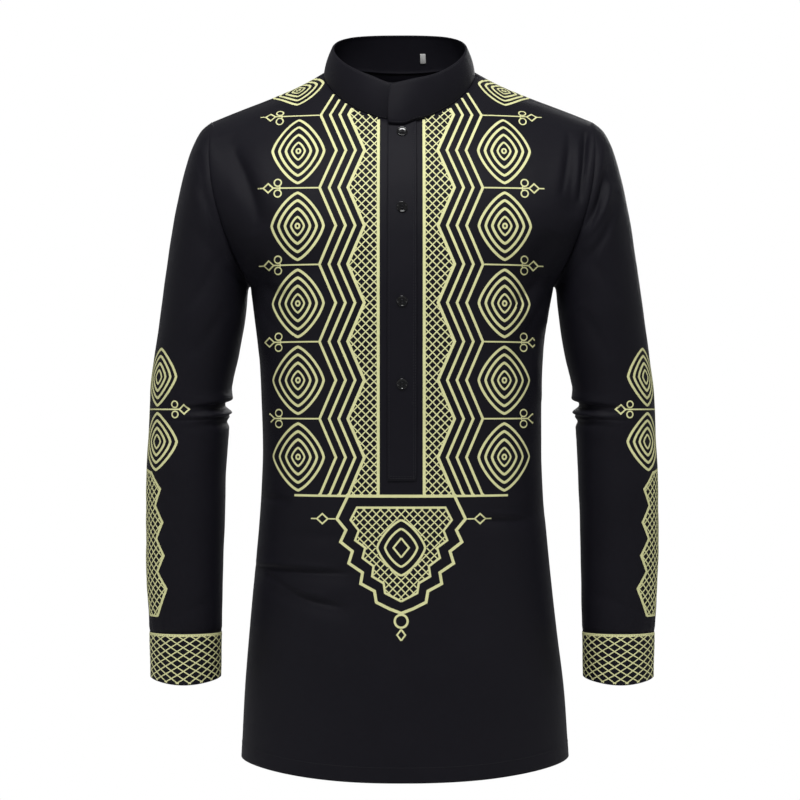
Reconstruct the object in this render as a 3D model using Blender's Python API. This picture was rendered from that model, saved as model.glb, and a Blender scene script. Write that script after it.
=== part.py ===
"""Long-sleeve shirt with a band collar, buttoned half placket and cuffs, filled out as if it were worn.

The shirt stands in its own frame: metres, +Z up, the front facing -Y, and the wearer's left at +X.
The origin is midway between the two side neck points, where the wearer's neck and shoulders hold it.
Every cloth piece is a wall between an outer and an inner surface, and all of them follow one form:
rows that run round the body from the neckline to the hem, and rings that run down each sleeve.
"""

import math
from collections import namedtuple

import bmesh
import bpy
import numpy as np

MM = 0.001

# Cloth
WALL = 1.5 * MM
FIRM_WALL = 2.0 * MM
SEAM_GAP = 0.38 * MM
LIFT = 0.40 * MM
SLEEVE_SHIFT = np.array([0.45, 0.0, 0.0]) * MM

# Body, at the side seam. The hem dips towards the centre front and back.
HEM_HEIGHT = -0.7620
ARMPIT_HEIGHT = -0.234
SHOULDER_TIP = (0.2147, 0.0040, -0.0475)

# Rows are numbered by where their side ends lie: 0 to 1 on the shoulder seam, 1 to 2 round the
# armhole from the shoulder tip to the armpit, and 2 to 7 down the side seam.
TIP_ROW, ARMPIT_ROW, HEM_ROW = 1.0, 2.0, 7.0

ShoulderPoint = namedtuple("ShoulderPoint", "row right left y z")
SHOULDER_SEAM = (
    ShoulderPoint(0.00, 0.0885, 0.0825, 0.000, 0.0050),
    ShoulderPoint(0.25, 0.1150, 0.1115, 0.001, -0.0093),
    ShoulderPoint(0.50, 0.1470, 0.1455, 0.003, -0.0224),
    ShoulderPoint(0.75, 0.1810, 0.1805, 0.004, -0.0346),
    ShoulderPoint(1.00, SHOULDER_TIP[0], *SHOULDER_TIP),
)

# Where a row crosses the centre front and centre back, how far it wraps, and how square it is
RowLine = namedtuple("RowLine", "row front_z back_z wrap_deg square")
ROW_LINES = (
    RowLine(0.00, -0.054, 0.014, 90, 2.00),
    RowLine(0.50, -0.092, -0.029, 90, 2.00),
    RowLine(1.00, -0.130, -0.068, 88, 2.00),
    RowLine(1.25, -0.157, -0.109, 63, 2.02),
    RowLine(1.50, -0.186, -0.150, 52, 2.05),
    RowLine(1.75, -0.212, -0.193, 62, 2.15),
    RowLine(2.00, -0.241, -0.236, 90, 2.25),
    RowLine(2.60, -0.299, -0.298, 90, 2.30),
    RowLine(7.00, -0.7767, -0.770, 90, 2.30),
)

# The centre front and centre back, seen from the side
Profile = namedtuple("Profile", "height front_y back_y")
PROFILES = (
    Profile(0.014, -0.054, 0.060),
    Profile(-0.029, -0.065, 0.083),
    Profile(-0.054, -0.076, 0.093),
    Profile(-0.092, -0.098, 0.106),
    Profile(-0.130, -0.112, 0.114),
    Profile(-0.186, -0.122, 0.118),
    Profile(-0.236, -0.125, 0.116),
    Profile(-0.320, -0.122, 0.107),
    Profile(-0.420, -0.118, 0.100),
    Profile(-0.520, -0.119, 0.104),
    Profile(-0.640, -0.122, 0.112),
    Profile(-0.777, -0.125, 0.117),
)

# The side seams in the front view: the wearer's right and left
SideLine = namedtuple("SideLine", "height right left")
SIDE_LINES = (
    SideLine(-0.234, 0.1710, 0.1710),
    SideLine(-0.244, 0.1698, 0.1692),
    SideLine(-0.262, 0.1674, 0.1658),
    SideLine(-0.305, 0.1616, 0.1598),
    SideLine(-0.350, 0.1590, 0.1572),
    SideLine(-0.418, 0.1570, 0.1570),
    SideLine(-0.463, 0.1586, 0.1586),
    SideLine(-0.508, 0.1616, 0.1626),
    SideLine(-0.554, 0.1660, 0.1670),
    SideLine(-0.621, 0.1720, 0.1745),
    SideLine(-0.689, 0.1774, 0.1828),
    SideLine(-0.768, 0.1812, 0.1882),
)

# Sleeve rings. Ring 0 is the armhole. Each is spanned by its outer and inner points in the front
# view and by its depth, and its middle may bow outward.
Ring = namedtuple("Ring", "at outer_x outer_z inner_x inner_z mid_y front back bow")
RINGS = (
    Ring(0.00, 0.2147, -0.0475, 0.1710, -0.2340, 0.004, 0.069, 0.073, 0.0140),
    Ring(0.25, 0.2266, -0.0575, 0.1722, -0.2342, 0.004, 0.071, 0.074, 0.0120),
    Ring(0.55, 0.2388, -0.0825, 0.1732, -0.2352, 0.004, 0.072, 0.074, 0.0095),
    Ring(0.90, 0.2502, -0.1240, 0.1740, -0.2375, 0.004, 0.071, 0.073, 0.0070),
    Ring(1.30, 0.2595, -0.1700, 0.1746, -0.2425, 0.003, 0.070, 0.071, 0.0040),
    Ring(1.70, 0.2667, -0.2200, 0.1757, -0.2560, 0.003, 0.068, 0.068, 0.0020),
    Ring(2.10, 0.2732, -0.2650, 0.1777, -0.2740, 0.002, 0.065, 0.065, 0.0000),
    Ring(2.60, 0.2794, -0.3120, 0.1845, -0.3120, 0.002, 0.060, 0.061, 0.0000),
    Ring(3.00, 0.2842, -0.3520, 0.1930, -0.3520, 0.001, 0.056, 0.056, 0.0000),
    Ring(3.40, 0.2858, -0.3920, 0.1955, -0.3920, 0.000, 0.053, 0.053, 0.0000),
    Ring(4.00, 0.2885, -0.4500, 0.1990, -0.4500, -0.002, 0.049, 0.049, 0.0000),
    Ring(4.80, 0.2890, -0.5300, 0.2010, -0.5300, -0.004, 0.044, 0.044, 0.0000),
    Ring(5.80, 0.2846, -0.6215, 0.2030, -0.6215, -0.006, 0.035, 0.035, 0.0000),
)
SLEEVE_END = RINGS[-1].at
CUFF_HEIGHT = 0.0512
CUFF_FRONT_DROP = 0.0066
CUFF_TAPER = 0.0010

# Collar band. It stands on row 0 of the body, and this is its top edge.
COLLAR_TOP_HALF_WIDTH = {"right": 0.0785, "left": 0.0730}
COLLAR_TOP_SIDE = (-0.0080, 0.0350)
COLLAR_TOP_FRONT = (-0.0765, -0.0085)
COLLAR_TOP_BACK = (0.0470, 0.0565)
COLLAR_BOW = 0.0015
NOTCH_DEPTH = 0.0045
NOTCH_AT = -0.012
NOTCH_HALF_WIDTH = 0.016
UNDER_END_DEG = -10.0
OVER_END_DEG = 370.0
UNDER_TO_OVER_DEG = 18.0
OVER_RAMP_DEG = 28.0
OVER_LIFT = 0.0048
OVER_DROP = (0.0, -0.0036, -0.0040)
TOP_CORNER = 0.0065
FOOT_CORNER = 0.0025

# Placket
PLACKET_HALF_WIDTH = 0.0155
SLOT_HALF_WIDTH = 0.0130
SLOT_END_HEIGHT = -0.4440
PLACKET_END_HEIGHT = -0.4485
PLACKET_TOP_ROW = 0.02

# Buttons
BUTTON_HEIGHTS = (-0.0670, -0.1520, -0.2545, -0.3440)
BUTTON_SIDES = 20
BUTTON_SEAT = 0.006
HOLE_SIDES = 6
HOLE_RADIUS = 0.0008
HOLE_OFFSET = 0.0014
ButtonEdge = namedtuple("ButtonEdge", "radius height")
BUTTON_PROFILE = (
    ButtonEdge(0.0052, 0.0000),
    ButtonEdge(0.0060, 0.0007),
    ButtonEdge(0.0060, 0.0019),
    ButtonEdge(0.0054, 0.0025),
    ButtonEdge(0.0045, 0.0019),
)

# Size tag inside the back of the collar
TAG_DEG = 198.0
TAG_WIDTH_DEG = 4.4
TAG_FOOT, TAG_HEAD = 0.26, 0.52
TAG_WALL = 0.0010

# Folds of the cloth in the front view. A negative height is a trough.
Fold = namedtuple("Fold", "piece x1 z1 x2 z2 bow half_width height")
FOLDS = (
    Fold("front", -0.196, -0.066, -0.156, -0.176, 0.004, 0.0120, -0.0050),
    Fold("front", -0.170, -0.076, -0.134, -0.170, 0.004, 0.0150, 0.0022),
    Fold("front", -0.170, -0.205, -0.118, -0.292, 0.000, 0.0150, -0.0042),
    Fold("front", -0.132, -0.205, -0.152, -0.315, 0.000, 0.0140, 0.0024),
    Fold("front", 0.201, -0.062, 0.190, -0.160, -0.003, 0.0120, -0.0050),
    Fold("front", 0.172, -0.056, 0.158, -0.150, -0.003, 0.0150, -0.0030),
    Fold("front", 0.170, -0.180, 0.134, -0.262, -0.004, 0.0160, -0.0055),
    Fold("front", 0.162, -0.275, 0.118, -0.330, 0.000, 0.0150, -0.0032),
    Fold("front", -0.172, -0.549, -0.048, -0.553, 0.000, 0.0100, -0.0028),
    Fold("front", -0.166, -0.556, -0.054, -0.592, -0.006, 0.0105, -0.0030),
    Fold("front", 0.165, -0.484, 0.080, -0.495, 0.002, 0.0110, -0.0022),
    Fold("back", -0.196, -0.075, -0.150, -0.190, 0.006, 0.0140, -0.0045),
    Fold("back", 0.196, -0.075, 0.152, -0.186, -0.006, 0.0140, -0.0045),
    Fold("back", -0.165, -0.225, -0.112, -0.320, 0.004, 0.0160, -0.0038),
    Fold("back", 0.165, -0.230, 0.116, -0.312, -0.004, 0.0160, -0.0038),
    Fold("back", -0.130, -0.395, 0.105, -0.412, -0.010, 0.0140, -0.0038),
    Fold("back", -0.080, -0.450, 0.135, -0.437, 0.006, 0.0130, -0.0030),
    Fold("sleeve_left", 0.238, -0.080, 0.198, -0.186, 0.004, 0.0110, -0.0042),
    Fold("sleeve_left", 0.252, -0.112, 0.204, -0.200, 0.005, 0.0100, 0.0026),
    Fold("sleeve_right", 0.228, -0.086, 0.190, -0.206, 0.006, 0.0120, -0.0038),
)
FOLD_FADE = 0.018

# Creases round the bend of each elbow
ElbowCrease = namedtuple("ElbowCrease", "height half_width depth")
ELBOW_CREASES = (
    ElbowCrease(-0.3605, 0.0050, 0.0016),
    ElbowCrease(-0.3705, 0.0050, -0.0055),
    ElbowCrease(-0.3790, 0.0045, 0.0018),
    ElbowCrease(-0.3880, 0.0060, -0.0024),
)
ELBOW_REACH = 0.60

# How finely each piece is divided
SHOULDER_STEPS = 4
ARMHOLE_STEPS = 12
SIDE_HEIGHTS = (
    -0.252, -0.280, -0.312, -0.346, -0.382, -0.4160, SLOT_END_HEIGHT, -0.470, -0.494,
    -0.516, -0.534, -0.550, -0.566, -0.582, -0.604, -0.636, -0.676, -0.722, HEM_HEIGHT,
)
FRONT_COLUMNS = 12
BACK_COLUMNS = 11
SLEEVE_STATIONS = (
    0.0, 0.25, 0.55, 0.90, 1.30, 1.70, 2.10, 2.50, 2.80, 2.98, 3.085, 3.185, 3.27, 3.36,
    3.50, 3.80, 4.20, 4.70, 5.25, SLEEVE_END,
)
COLLAR_DEGREES = 8.0
COLLAR_END_DEGREES = (0.0, 0.8, 2.2, 4.5, 8.0)
COLLAR_ROWS = 4
CUFF_ROWS = 3
DENSE = 160

CLOTH_COLOUR = (0.012, 0.011, 0.014, 1.0)
BUTTON_COLOUR = (0.020, 0.020, 0.022, 1.0)
TAG_COLOUR = (0.42, 0.42, 0.42, 1.0)


def start_empty():
    """Clears the scene and returns a new collection for the shirt."""
    for old in list(bpy.data.objects):
        bpy.data.objects.remove(old)
    shirt = bpy.data.collections.new("shirt")
    bpy.context.scene.collection.children.link(shirt)
    return shirt


def finish_material(name, colour, roughness):
    """A material of one plain colour."""
    material = bpy.data.materials.new(name)
    material.use_nodes = True
    shader = material.node_tree.nodes["Principled BSDF"]
    shader.inputs["Base Color"].default_value = colour
    shader.inputs["Roughness"].default_value = roughness
    shader.inputs["Metallic"].default_value = 0.0
    return material


def curve_through(keys, values, at):
    """A smooth curve through the values that never swings past them, read at one place or many."""
    keys, values, at = (np.asarray(a, float) for a in (keys, values, at))
    steps = np.diff(keys)
    rises = np.diff(values) / steps
    slopes = np.zeros(len(keys))
    slopes[0], slopes[-1] = rises[0], rises[-1]
    for i in range(1, len(keys) - 1):
        before, after = rises[i - 1], rises[i]
        if before * after > 0:
            w1, w2 = 2 * steps[i] + steps[i - 1], steps[i] + 2 * steps[i - 1]
            slopes[i] = (w1 + w2) / (w1 / before + w2 / after)
    at = np.clip(at, keys[0], keys[-1])
    i = np.clip(np.searchsorted(keys, at, side="right") - 1, 0, len(keys) - 2)
    h = keys[i + 1] - keys[i]
    t = (at - keys[i]) / h
    return (
        (2 * t**3 - 3 * t**2 + 1) * values[i]
        + (t**3 - 2 * t**2 + t) * h * slopes[i]
        + (-2 * t**3 + 3 * t**2) * values[i + 1]
        + (t**3 - t**2) * h * slopes[i + 1]
    )


def read(table, key, name, at):
    """A named column of a table, read at a place along its key column."""
    rows = sorted(table, key=lambda row: getattr(row, key))
    return curve_through([getattr(row, key) for row in rows], [getattr(row, name) for row in rows], at)


def ease(share):
    """A soft step from 0 to 1."""
    share = np.clip(share, 0.0, 1.0)
    return share * share * (3 - 2 * share)


def quarter(middle, end, wrap, square, turns, even):
    """Points of an arc from the centre front or back to the side.

    The arc is flat across at its middle and has turned by wrap at its end. A part of its rise, even,
    comes with the turn, so that the front and back arcs meet without a corner over the shoulder.
    """
    power = 2.0 / square
    sine, cosine = np.sin(turns), np.maximum(np.cos(turns), 0.0)
    across = (sine / math.sin(wrap)) ** power
    away = (1 - cosine**power) / (1 - max(math.cos(wrap), 0.0) ** power)
    climb = even * (1 - cosine) / (1 - math.cos(wrap)) + (1 - even) * (sine / math.sin(wrap)) ** 2
    return np.stack([
        end[0] * across,
        middle[1] + (end[1] - middle[1]) * away,
        middle[2] + (end[2] - middle[2]) * climb,
    ], axis=-1)


def sleeve_ring(at, turns):
    """Points of a sleeve ring on the wearer's left. Turn 0 is outermost and a quarter turn is the front."""
    ring = {name: float(read(RINGS, "at", name, at)) for name in Ring._fields}
    along, out = np.cos(turns), np.sin(turns)
    x = (ring["outer_x"] + ring["inner_x"]) / 2 + along * (ring["outer_x"] - ring["inner_x"]) / 2
    z = (ring["outer_z"] + ring["inner_z"]) / 2 + along * (ring["outer_z"] - ring["inner_z"]) / 2
    # Ring 0 meets the side seam, which lies at no depth, at its inner point.
    mid_y = ring["mid_y"] * np.maximum(min(at, 1.0), (1 + along) / 2)
    y = mid_y - np.where(out >= 0, ring["front"], ring["back"]) * out
    return np.stack([x + ring["bow"] * out**2, y, z], axis=-1)


def row_end(row, panel, side):
    """The side end of a body row, with x positive on either side."""
    if row <= TIP_ROW:
        return np.array([float(read(SHOULDER_SEAM, "row", name, row)) for name in (side, "y", "z")])
    if row < ARMPIT_ROW:
        return sleeve_ring(0.0, math.pi * (row - TIP_ROW) * (1 if panel == "front" else -1))
    share = (row - ARMPIT_ROW) / (HEM_ROW - ARMPIT_ROW)
    z = ARMPIT_HEIGHT + share * (HEM_HEIGHT - ARMPIT_HEIGHT)
    return np.array([float(read(SIDE_LINES, "height", side, z)), 0.0, z])


def row_middle(row, panel):
    """Where a body row crosses the centre front or centre back."""
    z = float(read(ROW_LINES, "row", panel + "_z", row))
    return np.array([0.0, float(read(PROFILES, "height", panel + "_y", z)), z])


def even_rise(row, panel):
    """The part of a row's rise that comes with its turn."""
    other = row_middle(min(row, TIP_ROW), "back" if panel == "front" else "front")[2]
    middle = row_middle(min(row, TIP_ROW), panel)[2]
    end = row_end(min(row, TIP_ROW), panel, "left")[2]
    at_shoulder = (other - middle) / (2 * (end - middle))
    return at_shoulder * (1 - min(max(row - TIP_ROW, 0.0), 1.0)) ** 2


def body_row(row, panel, side):
    """A dense line along a body row from its middle to its side end, with x positive."""
    wrap = math.radians(float(read(ROW_LINES, "row", "wrap_deg", row)))
    square = float(read(ROW_LINES, "row", "square", row))
    turns = np.linspace(0, wrap, DENSE)
    return quarter(row_middle(row, panel), row_end(row, panel, side), wrap, square, turns, even_rise(row, panel))


def along_row(row, panel, side, places):
    """Points on a body row at the given places, each a fixed length and a share of what is left."""
    line = body_row(row, panel, side)
    run = np.concatenate([[0], np.cumsum(np.linalg.norm(np.diff(line, axis=0), axis=1))])
    lengths = [fixed + share * (run[-1] - fixed) for fixed, share in places]
    points = np.stack([np.interp(lengths, run, line[:, axis]) for axis in range(3)], axis=-1)
    return points * (np.array([1, 1, 1]) if side == "left" else np.array([-1, 1, 1]))


def side_row(height):
    """The row whose side end is at a height on the side seam."""
    return ARMPIT_ROW + (HEM_ROW - ARMPIT_ROW) * (height - ARMPIT_HEIGHT) / (HEM_HEIGHT - ARMPIT_HEIGHT)


def body_rows():
    """All the rows of the body panels, from the neckline to the hem."""
    shoulder = [TIP_ROW * i / SHOULDER_STEPS for i in range(SHOULDER_STEPS)]
    armhole = [TIP_ROW + i / ARMHOLE_STEPS for i in range(ARMHOLE_STEPS + 1)]
    return shoulder + armhole + [side_row(height) for height in SIDE_HEIGHTS]


def panel_form(panel, places):
    """The form of a whole body panel, from the wearer's right side to the left."""
    rows = []
    for row in body_rows():
        right = along_row(row, panel, "right", places)[::-1]
        left = along_row(row, panel, "left", places)
        rows.append(np.concatenate([right, left[1:]]))
    return np.array(rows)


def sleeve_form(side):
    """The form of a sleeve, its columns running once round from the outermost one."""
    turns = np.linspace(0, 2 * math.pi, 2 * ARMHOLE_STEPS, endpoint=False)
    rings = np.array([sleeve_ring(at, turns) for at in SLEEVE_STATIONS])
    return rings * (np.array([1, 1, 1]) if side == "left" else np.array([-1, 1, 1]))


def grid_normals(grid, outward, closed=False):
    """Unit normals of a grid of points, turned to the side of the outward hint."""
    if closed:
        wrapped = np.concatenate([grid[:, -1:], grid, grid[:, :1]], axis=1)
        across = np.gradient(wrapped, axis=1)[:, 1:-1]
    else:
        across = np.gradient(grid, axis=1)
    down = np.gradient(grid, axis=0)
    normals = np.cross(across, down)
    normals /= np.linalg.norm(normals, axis=-1, keepdims=True) + 1e-12
    middle = tuple(n // 2 for n in grid.shape[:2])
    return normals * (1.0 if np.dot(normals[middle], outward[middle]) > 0 else -1.0)


def fold_heights(piece, grid, normals):
    """How far the folds move each point of a piece along its normal."""
    total = np.zeros(grid.shape[:2])
    facing = np.clip(-2.0 * normals[..., 1], 0, 1) if piece.startswith("sleeve") else 1.0
    for fold in FOLDS:
        if fold.piece != piece:
            continue
        start, end = np.array([fold.x1, fold.z1]), np.array([fold.x2, fold.z2])
        if piece == "sleeve_right":
            start, end = start * [-1, 1], end * [-1, 1]
        length = np.linalg.norm(end - start)
        way = (end - start) / length
        offset = grid[..., [0, 2]] - start
        along = offset @ way / length
        beside = offset @ np.array([-way[1], way[0]]) - 4 * fold.bow * along * (1 - along)
        taper = np.sqrt(np.clip(4 * along * (1 - along), 0, 1))
        total += fold.height * np.exp(-((beside / fold.half_width) ** 2)) * taper * facing
    return total


def elbow_heights(grid):
    """How far the elbow creases move each point of a sleeve along its normal."""
    turns = np.linspace(0, 2 * math.pi, grid.shape[1], endpoint=False)
    inward = ease((-np.cos(turns) - 1 + 2 * ELBOW_REACH) / (2 * ELBOW_REACH))
    total = np.zeros(grid.shape[:2])
    for crease in ELBOW_CREASES:
        total += crease.depth * np.exp(-(((grid[..., 2] - crease.height) / crease.half_width) ** 2))
    return total * inward


def cloth_forms():
    """The form and the way into the wall for every point of the body panels and sleeves.

    Points that several pieces share along a seam share one way into the wall, so that the cut
    edges of those pieces stay parallel.
    """
    front_places = [(0.0, 0.0)] + [(SLOT_HALF_WIDTH, i / FRONT_COLUMNS) for i in range(FRONT_COLUMNS + 1)]
    back_places = [(0.0, i / BACK_COLUMNS) for i in range(BACK_COLUMNS + 1)]
    forms = {"front": panel_form("front", front_places), "back": panel_form("back", back_places)}
    forms.update({"sleeve_" + side: sleeve_form(side) for side in ("left", "right")})
    ways, seams = {}, {}
    for name, grid in forms.items():
        closed = name.startswith("sleeve")
        outward = grid - (grid.mean(axis=1, keepdims=True) if closed else np.array([0.0, 0.0, -0.25]))
        normals = grid_normals(grid, outward, closed)
        heights = fold_heights(name, grid, normals)
        if closed:
            heights += elbow_heights(grid)
            heights *= ease(np.linalg.norm(grid - grid[0], axis=-1) / FOLD_FADE)
        else:
            for edge in (grid[:, :1], grid[:, -1:]):
                heights *= ease(np.linalg.norm(grid - edge, axis=-1) / FOLD_FADE)
        forms[name] = grid + normals * heights[..., None]
        ways[name] = grid_normals(forms[name], outward, closed)
        for point, normal in zip(forms[name].reshape(-1, 3), ways[name].reshape(-1, 3)):
            seams.setdefault(tuple(np.round(point, 5) + 0.0), []).append(normal)
    for name, grid in forms.items():
        flat = ways[name].reshape(-1, 3)
        for i, point in enumerate(grid.reshape(-1, 3)):
            shared = np.mean(seams[tuple(np.round(point, 5) + 0.0)], axis=0)
            size = np.linalg.norm(shared)
            flat[i] = shared / (size * max(size, 0.6))
    return forms, ways


def build_wall(collection, name, outer, inner, material, closed=False, absent=None):
    """A closed wall between two grids of points. Cells named absent are left open."""
    rows, columns = outer.shape[:2]
    mesh = bmesh.new()
    layers = [[mesh.verts.new(point) for point in grid.reshape(-1, 3)] for grid in (outer, inner)]
    edges = {}
    for row in range(rows - 1):
        for column in range(columns if closed else columns - 1):
            if absent and absent(row, column):
                continue
            after = (column + 1) % columns
            corners = [row * columns + column, row * columns + after,
                       (row + 1) * columns + after, (row + 1) * columns + column]
            mesh.faces.new([layers[0][i] for i in corners])
            mesh.faces.new([layers[1][i] for i in reversed(corners)])
            for a, b in zip(corners, corners[1:] + corners[:1]):
                edges[(a, b)] = True
    for a, b in edges:
        if (b, a) not in edges:
            mesh.faces.new([layers[0][b], layers[0][a], layers[1][a], layers[1][b]])
    return place(collection, name, mesh, material)


def place(collection, name, mesh, material):
    """Turns a finished bmesh into an object of the shirt."""
    loose = [vert for vert in mesh.verts if not vert.link_faces]
    bmesh.ops.delete(mesh, geom=loose, context="VERTS")
    bmesh.ops.triangulate(mesh, faces=mesh.faces[:])
    bmesh.ops.recalc_face_normals(mesh, faces=mesh.faces[:])
    data = bpy.data.meshes.new(name)
    mesh.to_mesh(data)
    mesh.free()
    data.materials.append(material)
    piece = bpy.data.objects.new(name, data)
    collection.objects.link(piece)
    return piece


def build_panel(collection, name, grid, way, material):
    """A body panel, its side edges drawn back from the seams. The front is slit for the placket."""
    outer = grid.copy()
    for edge, beside in ((0, 1), (-1, -2)):
        inward = grid[:, beside] - grid[:, edge]
        inward /= np.linalg.norm(inward, axis=1, keepdims=True)
        outer[:, edge] += inward * SEAM_GAP / 2
    middle = grid.shape[1] // 2
    slit_rows = body_rows().index(side_row(SLOT_END_HEIGHT))
    absent = (lambda row, column: row < slit_rows and column in (middle - 1, middle)) if name == "front" else None
    return build_wall(collection, name, outer, outer - way * WALL, material, absent=absent)


def build_sleeve(collection, side, grid, way, material):
    """A sleeve, drawn back from the armhole and the cuff."""
    shift = SLEEVE_SHIFT * (1 if side == "left" else -1)
    return build_wall(collection, "sleeve_" + side, grid + shift, grid + shift - way * WALL, material, closed=True)


def build_cuff(collection, side, grid, material):
    """A closed cuff band below the end ring of a sleeve. Its mouth dips at the front."""
    shift = SLEEVE_SHIFT * (1 if side == "left" else -1)
    ring = grid[-1] + shift
    centre = ring.mean(axis=0)
    out = ring - centre
    out /= np.linalg.norm(out, axis=1, keepdims=True)
    front = np.maximum(-out[:, 1], 0.0) ** 1.5
    rows = []
    for share in np.linspace(0, 1, CUFF_ROWS + 1):
        level = -SEAM_GAP - share * (CUFF_HEIGHT - SEAM_GAP + CUFF_FRONT_DROP * front)
        rows.append(ring - out * CUFF_TAPER * share + level[:, None] * np.array([0, 0, 1]))
    outer = np.array(rows)
    way = grid_normals(outer, outer - outer.mean(axis=1, keepdims=True), closed=True)
    return build_wall(collection, "cuff_" + side, outer, outer - way * FIRM_WALL, material, closed=True)


def collar_rings(degrees):
    """The foot and top edges of the collar band at an angle round the neck.

    Angles start at the centre front and grow towards the wearer's right, so that the band's last
    end, the one on top, comes from the wearer's left.
    """
    angle = (180.0 - degrees) % 360.0 - 180.0
    panel = "front" if abs(angle) <= 90 else "back"
    turn = math.radians(abs(angle) if panel == "front" else 180 - abs(angle))
    side = "left" if angle >= 0 else "right"
    foot = quarter(row_middle(0.0, panel), row_end(0.0, panel, side), math.pi / 2, 2.0, turn, even_rise(0.0, panel))
    near, far = COLLAR_TOP_FRONT, COLLAR_TOP_BACK
    if panel == "back":
        near, far = far, near
    rise = COLLAR_TOP_SIDE[1] - near[1]
    end = (COLLAR_TOP_HALF_WIDTH[side], *COLLAR_TOP_SIDE)
    top = quarter((0.0, *near), end, math.pi / 2, 2.0, turn, (far[1] - near[1]) / (2 * rise))
    mirror = np.array([math.copysign(1.0, angle), 1, 1])
    foot, top = foot * mirror + [0, 0, LIFT], top * mirror
    if panel == "front":
        top[2] -= NOTCH_DEPTH * math.exp(-(((top[0] - NOTCH_AT) / NOTCH_HALF_WIDTH) ** 2))
    return foot, top


def corner_cut(distance, radius):
    """How much a rounded corner takes off an edge at a distance from its end."""
    return radius - math.sqrt(max(radius**2 - max(radius - distance, 0.0) ** 2, 0.0))


def collar_form(stations, shares):
    """The outer surface of the collar band at angles round the neck and shares of its height."""
    grid = []
    for degrees in stations:
        foot, top = collar_rings(degrees)
        out = np.array([foot[0], foot[1] + top[1], 0.0])
        out /= np.linalg.norm(out)
        over = ease((degrees - OVER_END_DEG + UNDER_TO_OVER_DEG + OVER_RAMP_DEG) / OVER_RAMP_DEG)
        hang = ease((degrees - OVER_END_DEG + UNDER_TO_OVER_DEG + 4) / 12.0)
        radius = math.hypot(foot[0], foot[1])
        from_end = math.radians(min(degrees - UNDER_END_DEG, OVER_END_DEG - degrees)) * radius
        foot = foot + np.array(OVER_DROP) * hang
        height = np.linalg.norm(top - foot)
        low = corner_cut(from_end, FOOT_CORNER) / height
        high = 1 - corner_cut(from_end, TOP_CORNER) / height
        column = []
        for share in shares:
            place_on = low + share * (high - low)
            bow = COLLAR_BOW * 4 * place_on * (1 - place_on)
            column.append(foot + (top - foot) * place_on + out * (bow + OVER_LIFT * over))
        grid.append(column)
    return np.array(grid).transpose(1, 0, 2)


def build_collar(collection, material):
    """The collar band, its ends overlapping at the front with the wearer's left end on top."""
    ends = np.array(COLLAR_END_DEGREES)
    inner_start, inner_end = UNDER_END_DEG + ends[-1], OVER_END_DEG - ends[-1]
    steps = round((inner_end - inner_start) / COLLAR_DEGREES)
    stations = np.concatenate([
        UNDER_END_DEG + ends[:-1],
        np.linspace(inner_start, inner_end, steps + 1),
        OVER_END_DEG - ends[-2::-1],
    ])
    outer = collar_form(stations, np.linspace(0, 1, COLLAR_ROWS + 1))
    way = grid_normals(outer, outer * [1, 1, 0])
    return build_wall(collection, "collar_band", outer, outer - way * FIRM_WALL, material)


def build_tag(collection, material):
    """The blank size tag on the inside of the collar band."""
    degrees = np.linspace(TAG_DEG - TAG_WIDTH_DEG / 2, TAG_DEG + TAG_WIDTH_DEG / 2, 3)
    base = collar_form(degrees, np.linspace(TAG_FOOT, TAG_HEAD, 3))
    way = grid_normals(base, base * [1, 1, 0])
    outer = base - way * (FIRM_WALL + LIFT)
    return build_wall(collection, "neck_label", outer, outer - way * TAG_WALL, material)


def front_strip(half_width, lift, top_row, end_height):
    """A strip of the front form about its centre line, moved out by a lift, and its normals."""
    rows = [row for row in body_rows() if top_row < row < side_row(end_height)]
    rows = [top_row] + rows + [side_row(end_height)]
    places = [(0.0, 0.0), (SLOT_HALF_WIDTH - 0.0005, 0.0), (half_width, 0.0)]
    if half_width < SLOT_HALF_WIDTH:
        places = places[:1] + places[2:]
    grid = np.array([
        np.concatenate([along_row(row, "front", "right", places)[::-1], along_row(row, "front", "left", places)[1:]])
        for row in rows
    ])
    normals = grid_normals(grid, grid - np.array([0.0, 0.0, -0.25]))
    return grid + normals * lift, normals


def build_placket(collection, material):
    """The two placket strips. The under one lies in the slit and the upper one covers it."""
    under, normals = front_strip(SLOT_HALF_WIDTH - SEAM_GAP, 0.0, PLACKET_TOP_ROW, SLOT_END_HEIGHT + SEAM_GAP)
    build_wall(collection, "placket_under", under, under - normals * WALL, material)
    upper, normals = front_strip(PLACKET_HALF_WIDTH, LIFT + WALL, PLACKET_TOP_ROW, PLACKET_END_HEIGHT)
    build_wall(collection, "placket_upper", upper, upper - normals * WALL, material)


def front_at(height):
    """The point and normal of the centre front at a height, read from the rows of the panel."""
    line = np.array([row_middle(row, "front") for row in body_rows()])
    above, middle, below = (
        float(np.interp(-z, -line[:, 2], line[:, 1])) for z in (height + BUTTON_SEAT, height, height - BUTTON_SEAT)
    )
    normal = np.array([0.0, -1.0, (above - below) / (2 * BUTTON_SEAT)])
    return np.array([0.0, middle, height]), normal / np.linalg.norm(normal)


def ring_points(radius, height, sides, centre=(0.0, 0.0)):
    """Points of a level ring."""
    turns = [2 * math.pi * (i + 0.5) / sides for i in range(sides)]
    return [(centre[0] + radius * math.cos(t), centre[1] + radius * math.sin(t), height) for t in turns]


def join_rings(mesh, low, high):
    """Faces between two rings of equal length."""
    count = len(low)
    for i in range(count):
        mesh.faces.new([low[i], low[(i + 1) % count], high[(i + 1) % count], high[i]])


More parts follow.
